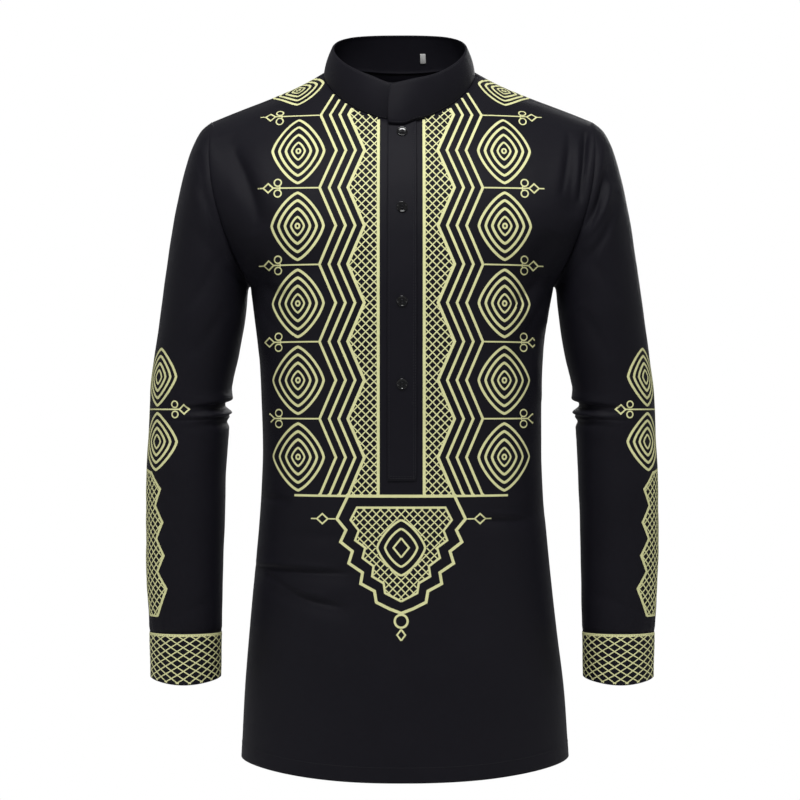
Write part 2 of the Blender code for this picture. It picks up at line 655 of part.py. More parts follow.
def build_button(collection, name, height, material):
    """A turned button with a raised rim and four holes, lying on the placket."""
    mesh = bmesh.new()
    rings = [[mesh.verts.new(p) for p in ring_points(edge.radius, edge.height, BUTTON_SIDES)]
             for edge in BUTTON_PROFILE]
    for low, high in zip(rings, rings[1:]):
        join_rings(mesh, low, high)
    centres = [(sx * HOLE_OFFSET, sy * HOLE_OFFSET) for sx in (-1, 1) for sy in (-1, 1)]
    ends = [(BUTTON_PROFILE[0].height, rings[0]), (BUTTON_PROFILE[-1].height, rings[-1])]
    hole_rings = []
    for level, rim in ends:
        holes = [[mesh.verts.new(p) for p in ring_points(HOLE_RADIUS, level, HOLE_SIDES, c)] for c in centres]
        hole_rings.append(holes)
        edges = []
        for loop in [rim] + holes:
            for a, b in zip(loop, loop[1:] + loop[:1]):
                edges.append(mesh.edges.get((a, b)) or mesh.edges.new((a, b)))
        bmesh.ops.triangle_fill(mesh, use_beauty=True, edges=edges)
    for low, high in zip(*hole_rings):
        join_rings(mesh, low, high)
    point, normal = front_at(height)
    point = point + normal * (LIFT + WALL + LIFT)
    up = np.cross(normal, [1.0, 0.0, 0.0])
    for vert in mesh.verts:
        x, y, z = vert.co
        vert.co = point + np.array([1.0, 0.0, 0.0]) * x + up * y + normal * z
    return place(collection, name, mesh, material)


def main():
    """Builds every piece of the shirt."""
    shirt = start_empty()
    cloth = finish_material("black_woven_cloth", CLOTH_COLOUR, 0.75)
    resin = finish_material("black_resin", BUTTON_COLOUR, 0.25)
    tape = finish_material("grey_tape", TAG_COLOUR, 0.8)
    forms, ways = cloth_forms()
    for panel in ("front", "back"):
        build_panel(shirt, panel, forms[panel], ways[panel], cloth)
    for side in ("left", "right"):
        build_sleeve(shirt, side, forms["sleeve_" + side], ways["sleeve_" + side], cloth)
        build_cuff(shirt, side, forms["sleeve_" + side], cloth)
    build_collar(shirt, cloth)
    build_placket(shirt, cloth)
    for number, height in enumerate(BUTTON_HEIGHTS, start=1):
        build_button(shirt, "button_%d" % number, height, resin)
    build_tag(shirt, tape)


main()
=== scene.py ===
"""A black long-sleeve shirt with a band collar, dressed for a front view as if filled out by a wearer.

The cloth sheets follow one form, given by short tables of sizes in metres: rows that run round the
body from the neckline to the hem, and rings that run down each sleeve. +Z is up and the front faces -Y.
"""

import logging
import math
from dataclasses import dataclass, field
from enum import Enum
from typing import Callable, Iterable, NamedTuple, Optional, Sequence

import bmesh
import bpy
import numpy as np
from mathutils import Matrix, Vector
from mathutils.bvhtree import BVHTree


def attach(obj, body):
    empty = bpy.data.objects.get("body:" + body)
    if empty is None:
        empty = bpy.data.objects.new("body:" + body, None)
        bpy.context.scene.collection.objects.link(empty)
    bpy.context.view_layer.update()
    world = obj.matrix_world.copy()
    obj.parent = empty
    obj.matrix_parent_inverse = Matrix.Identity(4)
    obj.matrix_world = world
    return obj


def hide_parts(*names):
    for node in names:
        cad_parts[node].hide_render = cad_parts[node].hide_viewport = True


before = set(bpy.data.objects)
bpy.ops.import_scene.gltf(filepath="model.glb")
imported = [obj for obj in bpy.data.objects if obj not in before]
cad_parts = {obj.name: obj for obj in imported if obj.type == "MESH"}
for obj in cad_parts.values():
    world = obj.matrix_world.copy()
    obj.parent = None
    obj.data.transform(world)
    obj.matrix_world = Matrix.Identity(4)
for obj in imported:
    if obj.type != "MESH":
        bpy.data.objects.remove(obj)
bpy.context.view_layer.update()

logging.basicConfig(level=logging.INFO, format="%(message)s")
LOG = logging.getLogger("shirt")
MM = 0.001
TINY = 1e-12
RIM_SWELL = 0.45
SHIRT_MIDDLE = np.array([0.0, 0.0, -0.25])
Points = np.ndarray


class Side(Enum):
    """The wearer's two sides, with the sign of x on each."""

    RIGHT = -1
    LEFT = 1

    @property
    def word(self) -> str:
        """The side's name as the pieces use it."""
        return self.name.lower()


class ShoulderPoint(NamedTuple):
    """A point of the shoulder seam, with its distance from the middle on either side."""

    row: float
    right: float
    left: float
    y: float
    z: float


class RowLine(NamedTuple):
    """Where a body row crosses the centre front and back, how far it wraps and how square it is."""

    row: float
    front_z: float
    back_z: float
    wrap_deg: float
    square: float


class Profile(NamedTuple):
    """The centre front and centre back at a height."""

    height: float
    front_y: float
    back_y: float


class SideLine(NamedTuple):
    """The side seams at a height."""

    height: float
    right: float
    left: float


class Ring(NamedTuple):
    """A sleeve ring, spanned by its outer and inner points in the front view."""

    at: float
    outer_x: float
    outer_z: float
    inner_x: float
    inner_z: float
    mid_y: float
    front: float
    back: float
    bow: float


class Fold(NamedTuple):
    """A fold of a piece's cloth in the front view. A negative height is a trough."""

    x1: float
    z1: float
    x2: float
    z2: float
    bow: float
    half_width: float
    height: float


class ElbowCrease(NamedTuple):
    """A crease round the bend of an elbow."""

    height: float
    half_width: float
    depth: float
    reach: float = 0.60


def folds(*rows: tuple[float, ...]) -> tuple[Fold, ...]:
    """Folds from rows of sizes in millimetres."""
    return tuple(Fold(*(size * MM for size in row)) for row in rows)


SHOULDER_SEAM = (
    ShoulderPoint(0.00, 0.0885, 0.0825, 0.000, 0.0050),
    ShoulderPoint(0.25, 0.1150, 0.1115, 0.001, -0.0093),
    ShoulderPoint(0.50, 0.1470, 0.1455, 0.003, -0.0224),
    ShoulderPoint(0.75, 0.1810, 0.1805, 0.004, -0.0346),
    ShoulderPoint(1.00, 0.2147, 0.2147, 0.0040, -0.0475),
)
ROW_LINES = (
    RowLine(0.00, -0.054, 0.014, 90, 2.00),
    RowLine(0.50, -0.092, -0.029, 90, 2.00),
    RowLine(1.00, -0.130, -0.068, 88, 2.00),
    RowLine(1.25, -0.157, -0.109, 63, 2.02),
    RowLine(1.50, -0.186, -0.150, 52, 2.05),
    RowLine(1.75, -0.212, -0.193, 62, 2.15),
    RowLine(2.00, -0.241, -0.236, 90, 2.25),
    RowLine(2.60, -0.299, -0.298, 90, 2.30),
    RowLine(7.00, -0.7767, -0.770, 90, 2.30),
)
PROFILES = (
    Profile(0.014, -0.054, 0.060),
    Profile(-0.029, -0.065, 0.083),
    Profile(-0.054, -0.076, 0.093),
    Profile(-0.092, -0.098, 0.106),
    Profile(-0.130, -0.112, 0.114),
    Profile(-0.186, -0.122, 0.118),
    Profile(-0.236, -0.125, 0.116),
    Profile(-0.320, -0.122, 0.107),
    Profile(-0.420, -0.118, 0.100),
    Profile(-0.520, -0.119, 0.104),
    Profile(-0.640, -0.122, 0.112),
    Profile(-0.777, -0.125, 0.117),
)
SIDE_LINES = (
    SideLine(-0.234, 0.1710, 0.1710),
    SideLine(-0.244, 0.1698, 0.1692),
    SideLine(-0.262, 0.1674, 0.1658),
    SideLine(-0.305, 0.1616, 0.1598),
    SideLine(-0.350, 0.1590, 0.1572),
    SideLine(-0.418, 0.1570, 0.1570),
    SideLine(-0.463, 0.1586, 0.1586),
    SideLine(-0.508, 0.1616, 0.1626),
    SideLine(-0.554, 0.1660, 0.1670),
    SideLine(-0.621, 0.1720, 0.1745),
    SideLine(-0.689, 0.1774, 0.1828),
    SideLine(-0.768, 0.1812, 0.1882),
)
RINGS = (
    Ring(0.00, 0.2147, -0.0475, 0.1710, -0.2340, 0.004, 0.069, 0.073, 0.0140),
    Ring(0.25, 0.2266, -0.0575, 0.1722, -0.2342, 0.004, 0.071, 0.074, 0.0120),
    Ring(0.55, 0.2388, -0.0825, 0.1732, -0.2352, 0.004, 0.072, 0.074, 0.0095),
    Ring(0.90, 0.2502, -0.1240, 0.1740, -0.2375, 0.004, 0.071, 0.073, 0.0070),
    Ring(1.30, 0.2595, -0.1700, 0.1746, -0.2425, 0.003, 0.070, 0.071, 0.0040),
    Ring(1.70, 0.2667, -0.2200, 0.1757, -0.2560, 0.003, 0.068, 0.068, 0.0020),
    Ring(2.10, 0.2732, -0.2650, 0.1777, -0.2740, 0.002, 0.065, 0.065, 0.0000),
    Ring(2.60, 0.2794, -0.3120, 0.1845, -0.3120, 0.002, 0.060, 0.061, 0.0000),
    Ring(3.00, 0.2842, -0.3520, 0.1930, -0.3520, 0.001, 0.056, 0.056, 0.0000),
    Ring(3.40, 0.2858, -0.3920, 0.1955, -0.3920, 0.000, 0.053, 0.053, 0.0000),
    Ring(4.00, 0.2885, -0.4500, 0.1990, -0.4500, -0.002, 0.049, 0.049, 0.0000),
    Ring(4.80, 0.2890, -0.5300, 0.2010, -0.5300, -0.004, 0.044, 0.044, 0.0000),
    Ring(5.80, 0.2846, -0.6215, 0.2030, -0.6215, -0.006, 0.035, 0.035, 0.0000),
)
FOLDS = {
    "front": folds(
        (-196, -66, -156, -176, 4, 12, -5),
        (-170, -76, -134, -170, 4, 15, 2.2),
        (-170, -205, -118, -292, 0, 15, -4.2),
        (-132, -205, -152, -315, 0, 14, 2.4),
        (201, -62, 190, -160, -3, 12, -5),
        (172, -56, 158, -150, -3, 15, -1),
        (170, -180, 134, -262, -4, 16, -5.5),
        (162, -275, 118, -330, 0, 15, -3.2),
        (-172, -549, -48, -553, 0, 10, -2.8),
        (-166, -556, -54, -592, -6, 10.5, -3),
        (165, -484, 80, -495, 2, 11, -2.2),
    ),
    "back": folds(
        (-196, -75, -150, -190, 6, 14, -4.5),
        (196, -75, 152, -186, -6, 14, -4.5),
        (-165, -225, -112, -320, 4, 16, -3.8),
        (165, -230, 116, -312, -4, 16, -3.8),
        (-130, -395, 105, -412, -10, 14, -3.8),
        (-80, -450, 135, -437, 6, 13, -3),
    ),
    "sleeve_left": folds(
        (238, -80, 198, -186, 4, 11, -4.2),
        (252, -112, 204, -200, 5, 10, 2.6),
    ),
    "sleeve_right": folds(
        (228, -86, 190, -206, 6, 12, -3.8),
    ),
}
FINE_FOLDS = {
    "front": folds(
        (-166, -547.5, -56, -550, 1, 2.2, -2.6),
        (-154, -553.5, -64, -587, -5, 3, -3),
        (-164, -542.5, -70, -544.5, 1, 3.4, 2.1),
        (-150, -560, -80, -576, -3, 4.2, 2),
        (-130, -512, -60, -512, 2, 6, -1.4),
        (-158, -470, -122, -473, 0, 4.6, -1.9),
        (84, -493, 140, -495.5, 1, 3.6, -2.2),
        (88, -487, 136, -489, 1, 4, 1.3),
        (142, -290, 154, -365, 0, 6, 1.5),
        (160, -222, 118, -262, 3, 4.5, -2.1),
        (163, -244, 130, -296, 2, 4.6, -1.8),
        (122, -196, 148, -236, 0, 5.5, 1.4),
        (-162, -230, -116, -252, -3, 4.8, -1.7),
        (-163, -246, -130, -296, -2, 4.8, -1.6),
        (-190, -80, -159, -166, 4, 5.2, -2),
        (-180, -84, -148, -160, 4, 6, 1.2),
        (204.5, -60, 198, -145, 1, 3, -5.2),
        (196.5, -66, 191, -142, 1, 3.6, 2.6),
        (186, -62, 176, -138, 2, 3.6, -3.4),
    ),
    "back": folds(
        (-120, -402, 90, -416, -8, 5, -1.6),
        (-60, -452, 120, -441, 5, 5, -1.4),
        (-176, -100, -150, -190, 4, 5.5, -1.8),
        (176, -100, 150, -190, -4, 5.5, -1.8),
        (-155, -240, -116, -300, 3, 5, -1.6),
        (155, -240, 116, -300, -3, 5, -1.6),
    ),
    "sleeve_right": folds(
        (205, -205, 238, -262, 3, 6, -1.3),
        (195, -255, 232, -312, 3, 6.5, -1.4),
        (236, -110, 202, -190, 5, 6, -1.5),
        (212, -585, 262, -602, 2, 6, -1),
    ),
    "sleeve_left": folds(
        (234, -118, 202, -184, 4, 4, 3.6),
        (226, -112, 198, -172, 4, 4, -3.4),
        (241, -132, 208, -204, 4, 5, -3),
        (205, -205, 240, -255, 3, 6, -1.3),
        (196, -260, 230, -318, 3, 6.5, -1.3),
        (214, -578, 264, -600, 2, 6, -1),
    ),
}
ELBOW_CREASES = (
    ElbowCrease(-0.3595, 0.0048, 0.0018),
    ElbowCrease(-0.3705, 0.0048, -0.0057),
    ElbowCrease(-0.3790, 0.0040, 0.0022),
    ElbowCrease(-0.3880, 0.0048, -0.0028),
    ElbowCrease(-0.3630, 0.0026, 0.0012, 0.86),
    ElbowCrease(-0.3668, 0.0016, -0.0025, 0.90),
    ElbowCrease(-0.3765, 0.0030, 0.0013, 0.84),
    ElbowCrease(-0.3808, 0.0016, -0.0024, 0.86),
)


def curve_through(keys: Sequence[float], values: Sequence[float], at: object) -> Points:
    """A smooth curve through values that never swings past them.

    Args:
        keys: Where the values lie, rising.
        values: The values there.
        at: One place or many.

    Returns:
        The curve's value at each place.
    """
    keys, values, at = (np.asarray(a, float) for a in (keys, values, at))
    steps = np.diff(keys)
    rises = np.diff(values) / steps
    slopes = np.zeros(len(keys))
    slopes[0], slopes[-1] = rises[0], rises[-1]
    for i in range(1, len(keys) - 1):
        before, after = rises[i - 1], rises[i]
        if before * after > 0:
            w1, w2 = 2 * steps[i] + steps[i - 1], steps[i] + 2 * steps[i - 1]
            slopes[i] = (w1 + w2) / (w1 / before + w2 / after)
    at = np.clip(at, keys[0], keys[-1])
    i = np.clip(np.searchsorted(keys, at, side="right") - 1, 0, len(keys) - 2)
    h = keys[i + 1] - keys[i]
    t = (at - keys[i]) / h
    return (
        (2 * t**3 - 3 * t**2 + 1) * values[i]
        + (t**3 - 2 * t**2 + t) * h * slopes[i]
        + (-2 * t**3 + 3 * t**2) * values[i + 1]
        + (t**3 - t**2) * h * slopes[i + 1]
    )


def read(table: Sequence[NamedTuple], key: str, name: str, at: object) -> Points:
    """A named column of a table, read along its key column."""
    rows = sorted(table, key=lambda row: getattr(row, key))
    return curve_through([getattr(row, key) for row in rows], [getattr(row, name) for row in rows], at)


def ease(share: object) -> Points:
    """A soft step from 0 to 1."""
    share = np.clip(share, 0.0, 1.0)
    return share * share * (3 - 2 * share)


def mound(distance: object, width: float) -> Points:
    """A round mound that is 1 at no distance and has all but gone at twice its width."""
    return np.exp(-((np.asarray(distance) / width) ** 2))


def full_turn(number: int) -> Points:
    """Angles that go once round in even steps."""
    return np.linspace(0, 2 * math.pi, number, endpoint=False)


def quarter(middle: Sequence[float], end: Sequence[float], wrap: float, square: float, turns: object,
            even: float) -> Points:
    """Points of an arc from the centre front or back to the side.

    Args:
        middle: The arc's start, where it is flat across.
        end: Its end, where it has turned by wrap.
        wrap: The turn at the end, in radians.
        square: 2 for an ellipse, more for a squarer arc.
        turns: The turns to read it at.
        even: The part of its rise that comes with its turn.

    Returns:
        One point for each turn.
    """
    power = 2.0 / square
    sine, cosine = np.sin(turns), np.maximum(np.cos(turns), 0.0)
    across = (sine / math.sin(wrap)) ** power
    away = (1 - cosine**power) / (1 - max(math.cos(wrap), 0.0) ** power)
    climb = even * (1 - cosine) / (1 - math.cos(wrap)) + (1 - even) * (sine / math.sin(wrap)) ** 2
    return np.stack([
        end[0] * across,
        middle[1] + (end[1] - middle[1]) * away,
        middle[2] + (end[2] - middle[2]) * climb,
    ], axis=-1)


@dataclass(frozen=True)
class ShirtForm:
    """The filled-out form that all the cloth follows."""

    tip_row: float = 1.0
    armpit_row: float = 2.0
    hem_row: float = 7.0
    armpit_height: float = -0.234
    hem_height: float = -0.762
    fold_fade: float = 18.0 * MM
    fine_fade: float = 5.0 * MM
    uneven_fade: float = 30.0 * MM
    pucker_pitch: float = 12.5 * MM

    def sleeve_ring(self, at: float, turns: object) -> Points:
        """Points of a sleeve ring on the wearer's left. Turn 0 is outermost, a quarter turn the front.

        Args:
            at: The ring's number.
            turns: The turns to read it at.

        Returns:
            One point for each turn.
        """
        ring = {name: float(read(RINGS, "at", name, at)) for name in Ring._fields}
        along, out = np.cos(turns), np.sin(turns)
        x = (ring["outer_x"] + ring["inner_x"]) / 2 + along * (ring["outer_x"] - ring["inner_x"]) / 2
        z = (ring["outer_z"] + ring["inner_z"]) / 2 + along * (ring["outer_z"] - ring["inner_z"]) / 2
        mid_y = ring["mid_y"] * np.maximum(min(at, 1.0), (1 + along) / 2)
        y = mid_y - np.where(out >= 0, ring["front"], ring["back"]) * out
        return np.stack([x + ring["bow"] * out**2, y, z], axis=-1)

    def row_end(self, row: float, panel: str, side: Side) -> Points:
        """The side end of a body row, with x positive on either side.

        Args:
            row: The row's number.
            panel: front or back.
            side: The wearer's side.

        Returns:
            The point.
        """
        if row <= self.tip_row:
            return np.array([float(read(SHOULDER_SEAM, "row", name, row)) for name in (side.word, "y", "z")])
        if row < self.armpit_row:
            return self.sleeve_ring(0.0, math.pi * (row - self.tip_row) * (1 if panel == "front" else -1))
        share = (row - self.armpit_row) / (self.hem_row - self.armpit_row)
        z = self.armpit_height + share * (self.hem_height - self.armpit_height)
        return np.array([float(read(SIDE_LINES, "height", side.word, z)), 0.0, z])

    def row_middle(self, row: float, panel: str) -> Points:
        """Where a body row crosses the centre front or centre back."""
        z = float(read(ROW_LINES, "row", panel + "_z", row))
        return np.array([0.0, float(read(PROFILES, "height", panel + "_y", z)), z])

    def even_rise(self, row: float, panel: str) -> float:
        """The part of a row's rise that comes with its turn.

        Args:
            row: The row's number.
            panel: front or back.

        Returns:
            A share from 0 to 1.
        """
        over = min(row, self.tip_row)
        other = self.row_middle(over, "back" if panel == "front" else "front")[2]
        middle, end = self.row_middle(over, panel)[2], self.row_end(over, panel, Side.LEFT)[2]
        return (other - middle) / (2 * (end - middle)) * (1 - min(max(row - self.tip_row, 0.0), 1.0)) ** 2

    def body_row(self, row: float, panel: str, side: Side, dense: int = 240) -> Points:
        """A dense line along a body row from its middle to its side end, with x positive.

        Args:
            row: The row's number.
            panel: front or back.
            side: The wearer's side.
            dense: How many points it has.

        Returns:
            The line's points.
        """
        wrap = math.radians(float(read(ROW_LINES, "row", "wrap_deg", row)))
        square = float(read(ROW_LINES, "row", "square", row))
        middle, end = self.row_middle(row, panel), self.row_end(row, panel, side)
        return quarter(middle, end, wrap, square, np.linspace(0, wrap, dense), self.even_rise(row, panel))

    def along_row(self, row: float, panel: str, side: Side,
                  lengths: Callable[[float], Points]) -> tuple[Points, Points]:
        """Points on a body row.

        Args:
            row: The row's number.
            panel: front or back.
            side: The wearer's side.
            lengths: Gives the wanted lengths from the middle for the row's whole length.

        Returns:
            The points, and each one's distance from the side end.
        """
        line = self.body_row(row, panel, side)
        run = run_lengths(line, 0)
        wanted = lengths(float(run[-1]))
        points = np.stack([np.interp(wanted, run, line[:, axis]) for axis in range(3)], axis=-1)
        return points * np.array([side.value, 1, 1]), run[-1] - wanted

    def side_row(self, height: float) -> float:
        """The row whose side end is at a height on the side seam."""
        share = (height - self.armpit_height) / (self.hem_height - self.armpit_height)
        return self.armpit_row + (self.hem_row - self.armpit_row) * share


FORM = ShirtForm()


def grid_normals(grid: Points, outward: Points, closed: bool = False) -> Points:
    """Unit normals of a grid of points, turned to the side of the outward hint.

    Args:
        grid: The points.
        outward: A way outwards at each point.
        closed: Whether the columns run once round.

    Returns:
        One normal for each point.
    """
    if closed:
        wrapped = np.concatenate([grid[:, -1:], grid, grid[:, :1]], axis=1)
        across = np.gradient(wrapped, axis=1)[:, 1:-1]
    else:
        across = np.gradient(grid, axis=1)
    normals = np.cross(across, np.gradient(grid, axis=0))
    normals /= np.linalg.norm(normals, axis=-1, keepdims=True) + TINY
    middle = tuple(n // 2 for n in grid.shape[:2])
    return normals * (1.0 if np.dot(normals[middle], outward[middle]) > 0 else -1.0)


def run_lengths(grid: Points, axis: int) -> Points:
    """The length along a grid from its first row or column to each point.

    Args:
        grid: The points.
        axis: 0 to run down the rows, 1 to run across the columns.

    Returns:
        One length for each point.
    """
    steps = np.linalg.norm(np.diff(grid, axis=axis), axis=-1)
    start = np.zeros_like(np.take(steps, [0], axis=axis))
    return np.concatenate([start, np.cumsum(steps, axis=axis)], axis=axis)


def fold_heights(piece: str, grid: Points, normals: Points, folds: dict[str, tuple[Fold, ...]]) -> Points:
    """How far the folds move each point of a piece along its normal.

    Args:
        piece: The piece's name.
        grid: Its points.
        normals: Its normals.
        folds: The folds of each piece.

    Returns:
        One height for each point.
    """
    total = np.zeros(grid.shape[:2])
    facing = np.clip(-2.0 * normals[..., 1], 0, 1) if piece.startswith("sleeve") else 1.0
    mirror = np.array([-1.0, 1.0]) if piece == "sleeve_right" else np.array([1.0, 1.0])
    for fold in folds.get(piece, ()):
        start, end = np.array([fold.x1, fold.z1]) * mirror, np.array([fold.x2, fold.z2]) * mirror
        length = np.linalg.norm(end - start)
        way = (end - start) / length
        offset = grid[..., [0, 2]] - start
        along = offset @ way / length
        beside = offset @ np.array([-way[1], way[0]]) - 4 * fold.bow * along * (1 - along)
        taper = np.sqrt(np.clip(4 * along * (1 - along), 0, 1))
        total += fold.height * mound(beside, fold.half_width) * taper * facing
    return total


def soft_waves(grid: Points, height: float) -> Points:
    """A faint unevenness that no cloth is without, from a few crossing waves.

    Args:
        grid: The points.
        height: The waves' size.

    Returns:
        One height for each point.
    """
    x, y, z = grid[..., 0], grid[..., 1], grid[..., 2]
    waves = (
        np.sin(38 * x + 21 * z + 1.3) * np.sin(29 * z - 12 * x + 8 * y + 0.4)
        + 0.6 * np.sin(71 * x - 33 * z + 2.1) * np.sin(47 * z + 25 * y + 1.9)
        + 0.35 * np.sin(118 * x + 61 * z) * np.sin(93 * z - 40 * x + 2.7)
    )
    return height * waves


def wall_object(name: str, outer: Points, inner: Points, runs: tuple[Points, Points], closed: bool = False,
                absent: Optional[Callable[[int, int], bool]] = None) -> bpy.types.Object:
    """A closed cloth wall between two grids of points, with a rounded rim and a UV map in metres.

    Args:
        name: The piece's name.
        outer: The outer grid of points.
        inner: The inner grid of points.
        runs: The lengths along the cloth, across and down, at each point.
        closed: Whether the columns run once round.
        absent: Names the cells that are left open.

    Returns:
        The piece, its place in its mesh.
    """
    rows, columns = outer.shape[:2]
    count = rows * columns
    points = np.concatenate([outer.reshape(-1, 3), inner.reshape(-1, 3)])
    faces: list[tuple[int, ...]] = []
    out_ways: dict[int, Points] = {}
    edges: dict[tuple[int, int], int] = {}
    for row in range(rows - 1):
        for column in range(columns if closed else columns - 1):
            if absent and absent(row, column):
                continue
            after = (column + 1) % columns
            corners = (row * columns + column, row * columns + after,
                       (row + 1) * columns + after, (row + 1) * columns + column)
            for a, b in zip(corners, corners[1:] + corners[:1]):
                edges[(a, b)] = len(faces)
            faces.append(corners)
            faces.append(tuple(i + count for i in reversed(corners)))
    rim = [(edge, face) for edge, face in edges.items() if (edge[1], edge[0]) not in edges]
    for (a, b), face in rim:
        way = (points[a] + points[b]) / 2 - points[list(faces[face])].mean(axis=0)
        for i in (a, b):
            out_ways[i] = out_ways.get(i, np.zeros(3)) + way / (np.linalg.norm(way) + TINY)
    middles: dict[int, int] = {}
    extra = []
    for i, way in out_ways.items():
        middles[i] = 2 * count + len(extra)
        thickness = np.linalg.norm(points[i] - points[i + count])
        out = way / (np.linalg.norm(way) + TINY)
        extra.append((points[i] + points[i + count]) / 2 + out * thickness * RIM_SWELL)
    for (a, b), _ in rim:
        faces.append((b, a, middles[a], middles[b]))
        faces.append((middles[b], middles[a], a + count, b + count))
    across, down = (np.asarray(run).reshape(-1) for run in runs)
    flat = np.stack([across, down], axis=-1)
    flat = np.concatenate([flat, flat, flat[list(middles)] if middles else np.zeros((0, 2))])
    whole = np.concatenate([points, np.array(extra)]) if extra else points
    used = np.zeros(len(whole), dtype=bool)
    used[np.array([i for face in faces for i in face])] = True
    renumber = np.cumsum(used) - 1
    faces = [tuple(int(renumber[i]) for i in face) for face in faces]
    piece = new_mesh(name, whole[used], faces)
    layer = piece.data.uv_layers.new(name="cloth")
    corners_of = np.zeros(len(piece.data.loops), dtype=np.int64)
    piece.data.loops.foreach_get("vertex_index", corners_of)
    layer.data.foreach_set("uv", flat[used][corners_of].reshape(-1).astype(np.float32))
    return piece


def in_scene(name: str, data: bpy.types.ID) -> bpy.types.Object:
    """A new object in the scene."""
    piece = bpy.data.objects.new(name, data)
    bpy.context.scene.collection.objects.link(piece)
    return piece


def new_mesh(name: str, points: Points, faces: Sequence[Sequence[int]]) -> bpy.types.Object:
    """A smooth-shaded object of points and faces, turned to face outwards.

    Args:
        name: The object's name.
        points: Its points.
        faces: Its faces, all turned the same way.

    Returns:
        The object.
    """
    data = bpy.data.meshes.new(name)
    volume = 0.0
    for face in faces:
        for second, third in zip(face[1:-1], face[2:]):
            a, b, c = points[face[0]], points[second], points[third]
            volume += a[0] * (b[1] * c[2] - b[2] * c[1]) + a[1] * (b[2] * c[0] - b[0] * c[2]) \
                + a[2] * (b[0] * c[1] - b[1] * c[0])
    turned = [tuple(reversed(face)) for face in faces] if volume < 0 else faces
    data.from_pydata([tuple(map(float, point)) for point in points], [], turned)
    data.polygons.foreach_set("use_smooth", np.ones(len(data.polygons), dtype=bool))
    data.update()
    return in_scene(name, data)


@dataclass(frozen=True)
class Surface:
    """The outer side of a finished grid, read between its points."""

    points: Points
    normals: Points
    closed: bool = False

    def at(self, down: object, across: object) -> tuple[Points, Points]:
        """Points and unit normals at grid places given as fractional row and column numbers.

        Args:
            down: Row numbers.
            across: Column numbers.

        Returns:
            The points and their normals.
        """
        rows, columns = self.points.shape[:2]
        down = np.clip(np.asarray(down, float), 0, rows - 1.000001)
        across = np.asarray(across, float)
        across = across % columns if self.closed else np.clip(across, 0, columns - 1.000001)
        r, c = np.floor(down).astype(int), np.floor(across).astype(int)
        fr, fc = (down - r)[..., None], (across - c)[..., None]
        c = c % columns
        after = (c + 1) % columns
        found = []
        for grid in (self.points, self.normals):
            found.append((grid[r, c] * (1 - fc) + grid[r, after] * fc) * (1 - fr)
                         + (grid[r + 1, c] * (1 - fc) + grid[r + 1, after] * fc) * fr)
        return found[0], found[1] / np.linalg.norm(found[1], axis=-1, keepdims=True)


class Value:
    """A shader socket that Python's arithmetic can be written on."""

    def __init__(self, recipe: "Recipe", socket: bpy.types.NodeSocket) -> None:
        """Wraps a socket of a recipe."""
        self.recipe = recipe
        self.socket = socket

    def _with(self, operation: str, other: object = None, swap: bool = False) -> "Value":
        """The result of a Math node on this value and another."""
        inputs = {0: self} if other is None else ({0: other, 1: self} if swap else {0: self, 1: other})
        return self.recipe.value("ShaderNodeMath", {"operation": operation}, inputs)

    def __add__(self, other: object) -> "Value":
        """The sum."""
        return self._with("ADD", other)

    def __sub__(self, other: object) -> "Value":
        """The difference."""
        return self._with("SUBTRACT", other)

    def __rsub__(self, other: object) -> "Value":
        """The difference, the other way round."""
        return self._with("SUBTRACT", other, swap=True)

    def __mul__(self, other: object) -> "Value":
        """The product."""
        return self._with("MULTIPLY", other)

    __radd__ = __add__
    __rmul__ = __mul__

    def sine(self) -> "Value":
        """The sine."""
        return self._with("SINE")

    def clamped(self, low: float = 0.0, high: float = 1.0) -> "Value":
        """This value kept within bounds."""
        return self._with("MAXIMUM", low)._with("MINIMUM", high)

    def part(self, axis: str) -> "Value":
        """One axis of a vector."""
        return self.recipe.value("ShaderNodeSeparateXYZ", {}, {0: self}, axis)


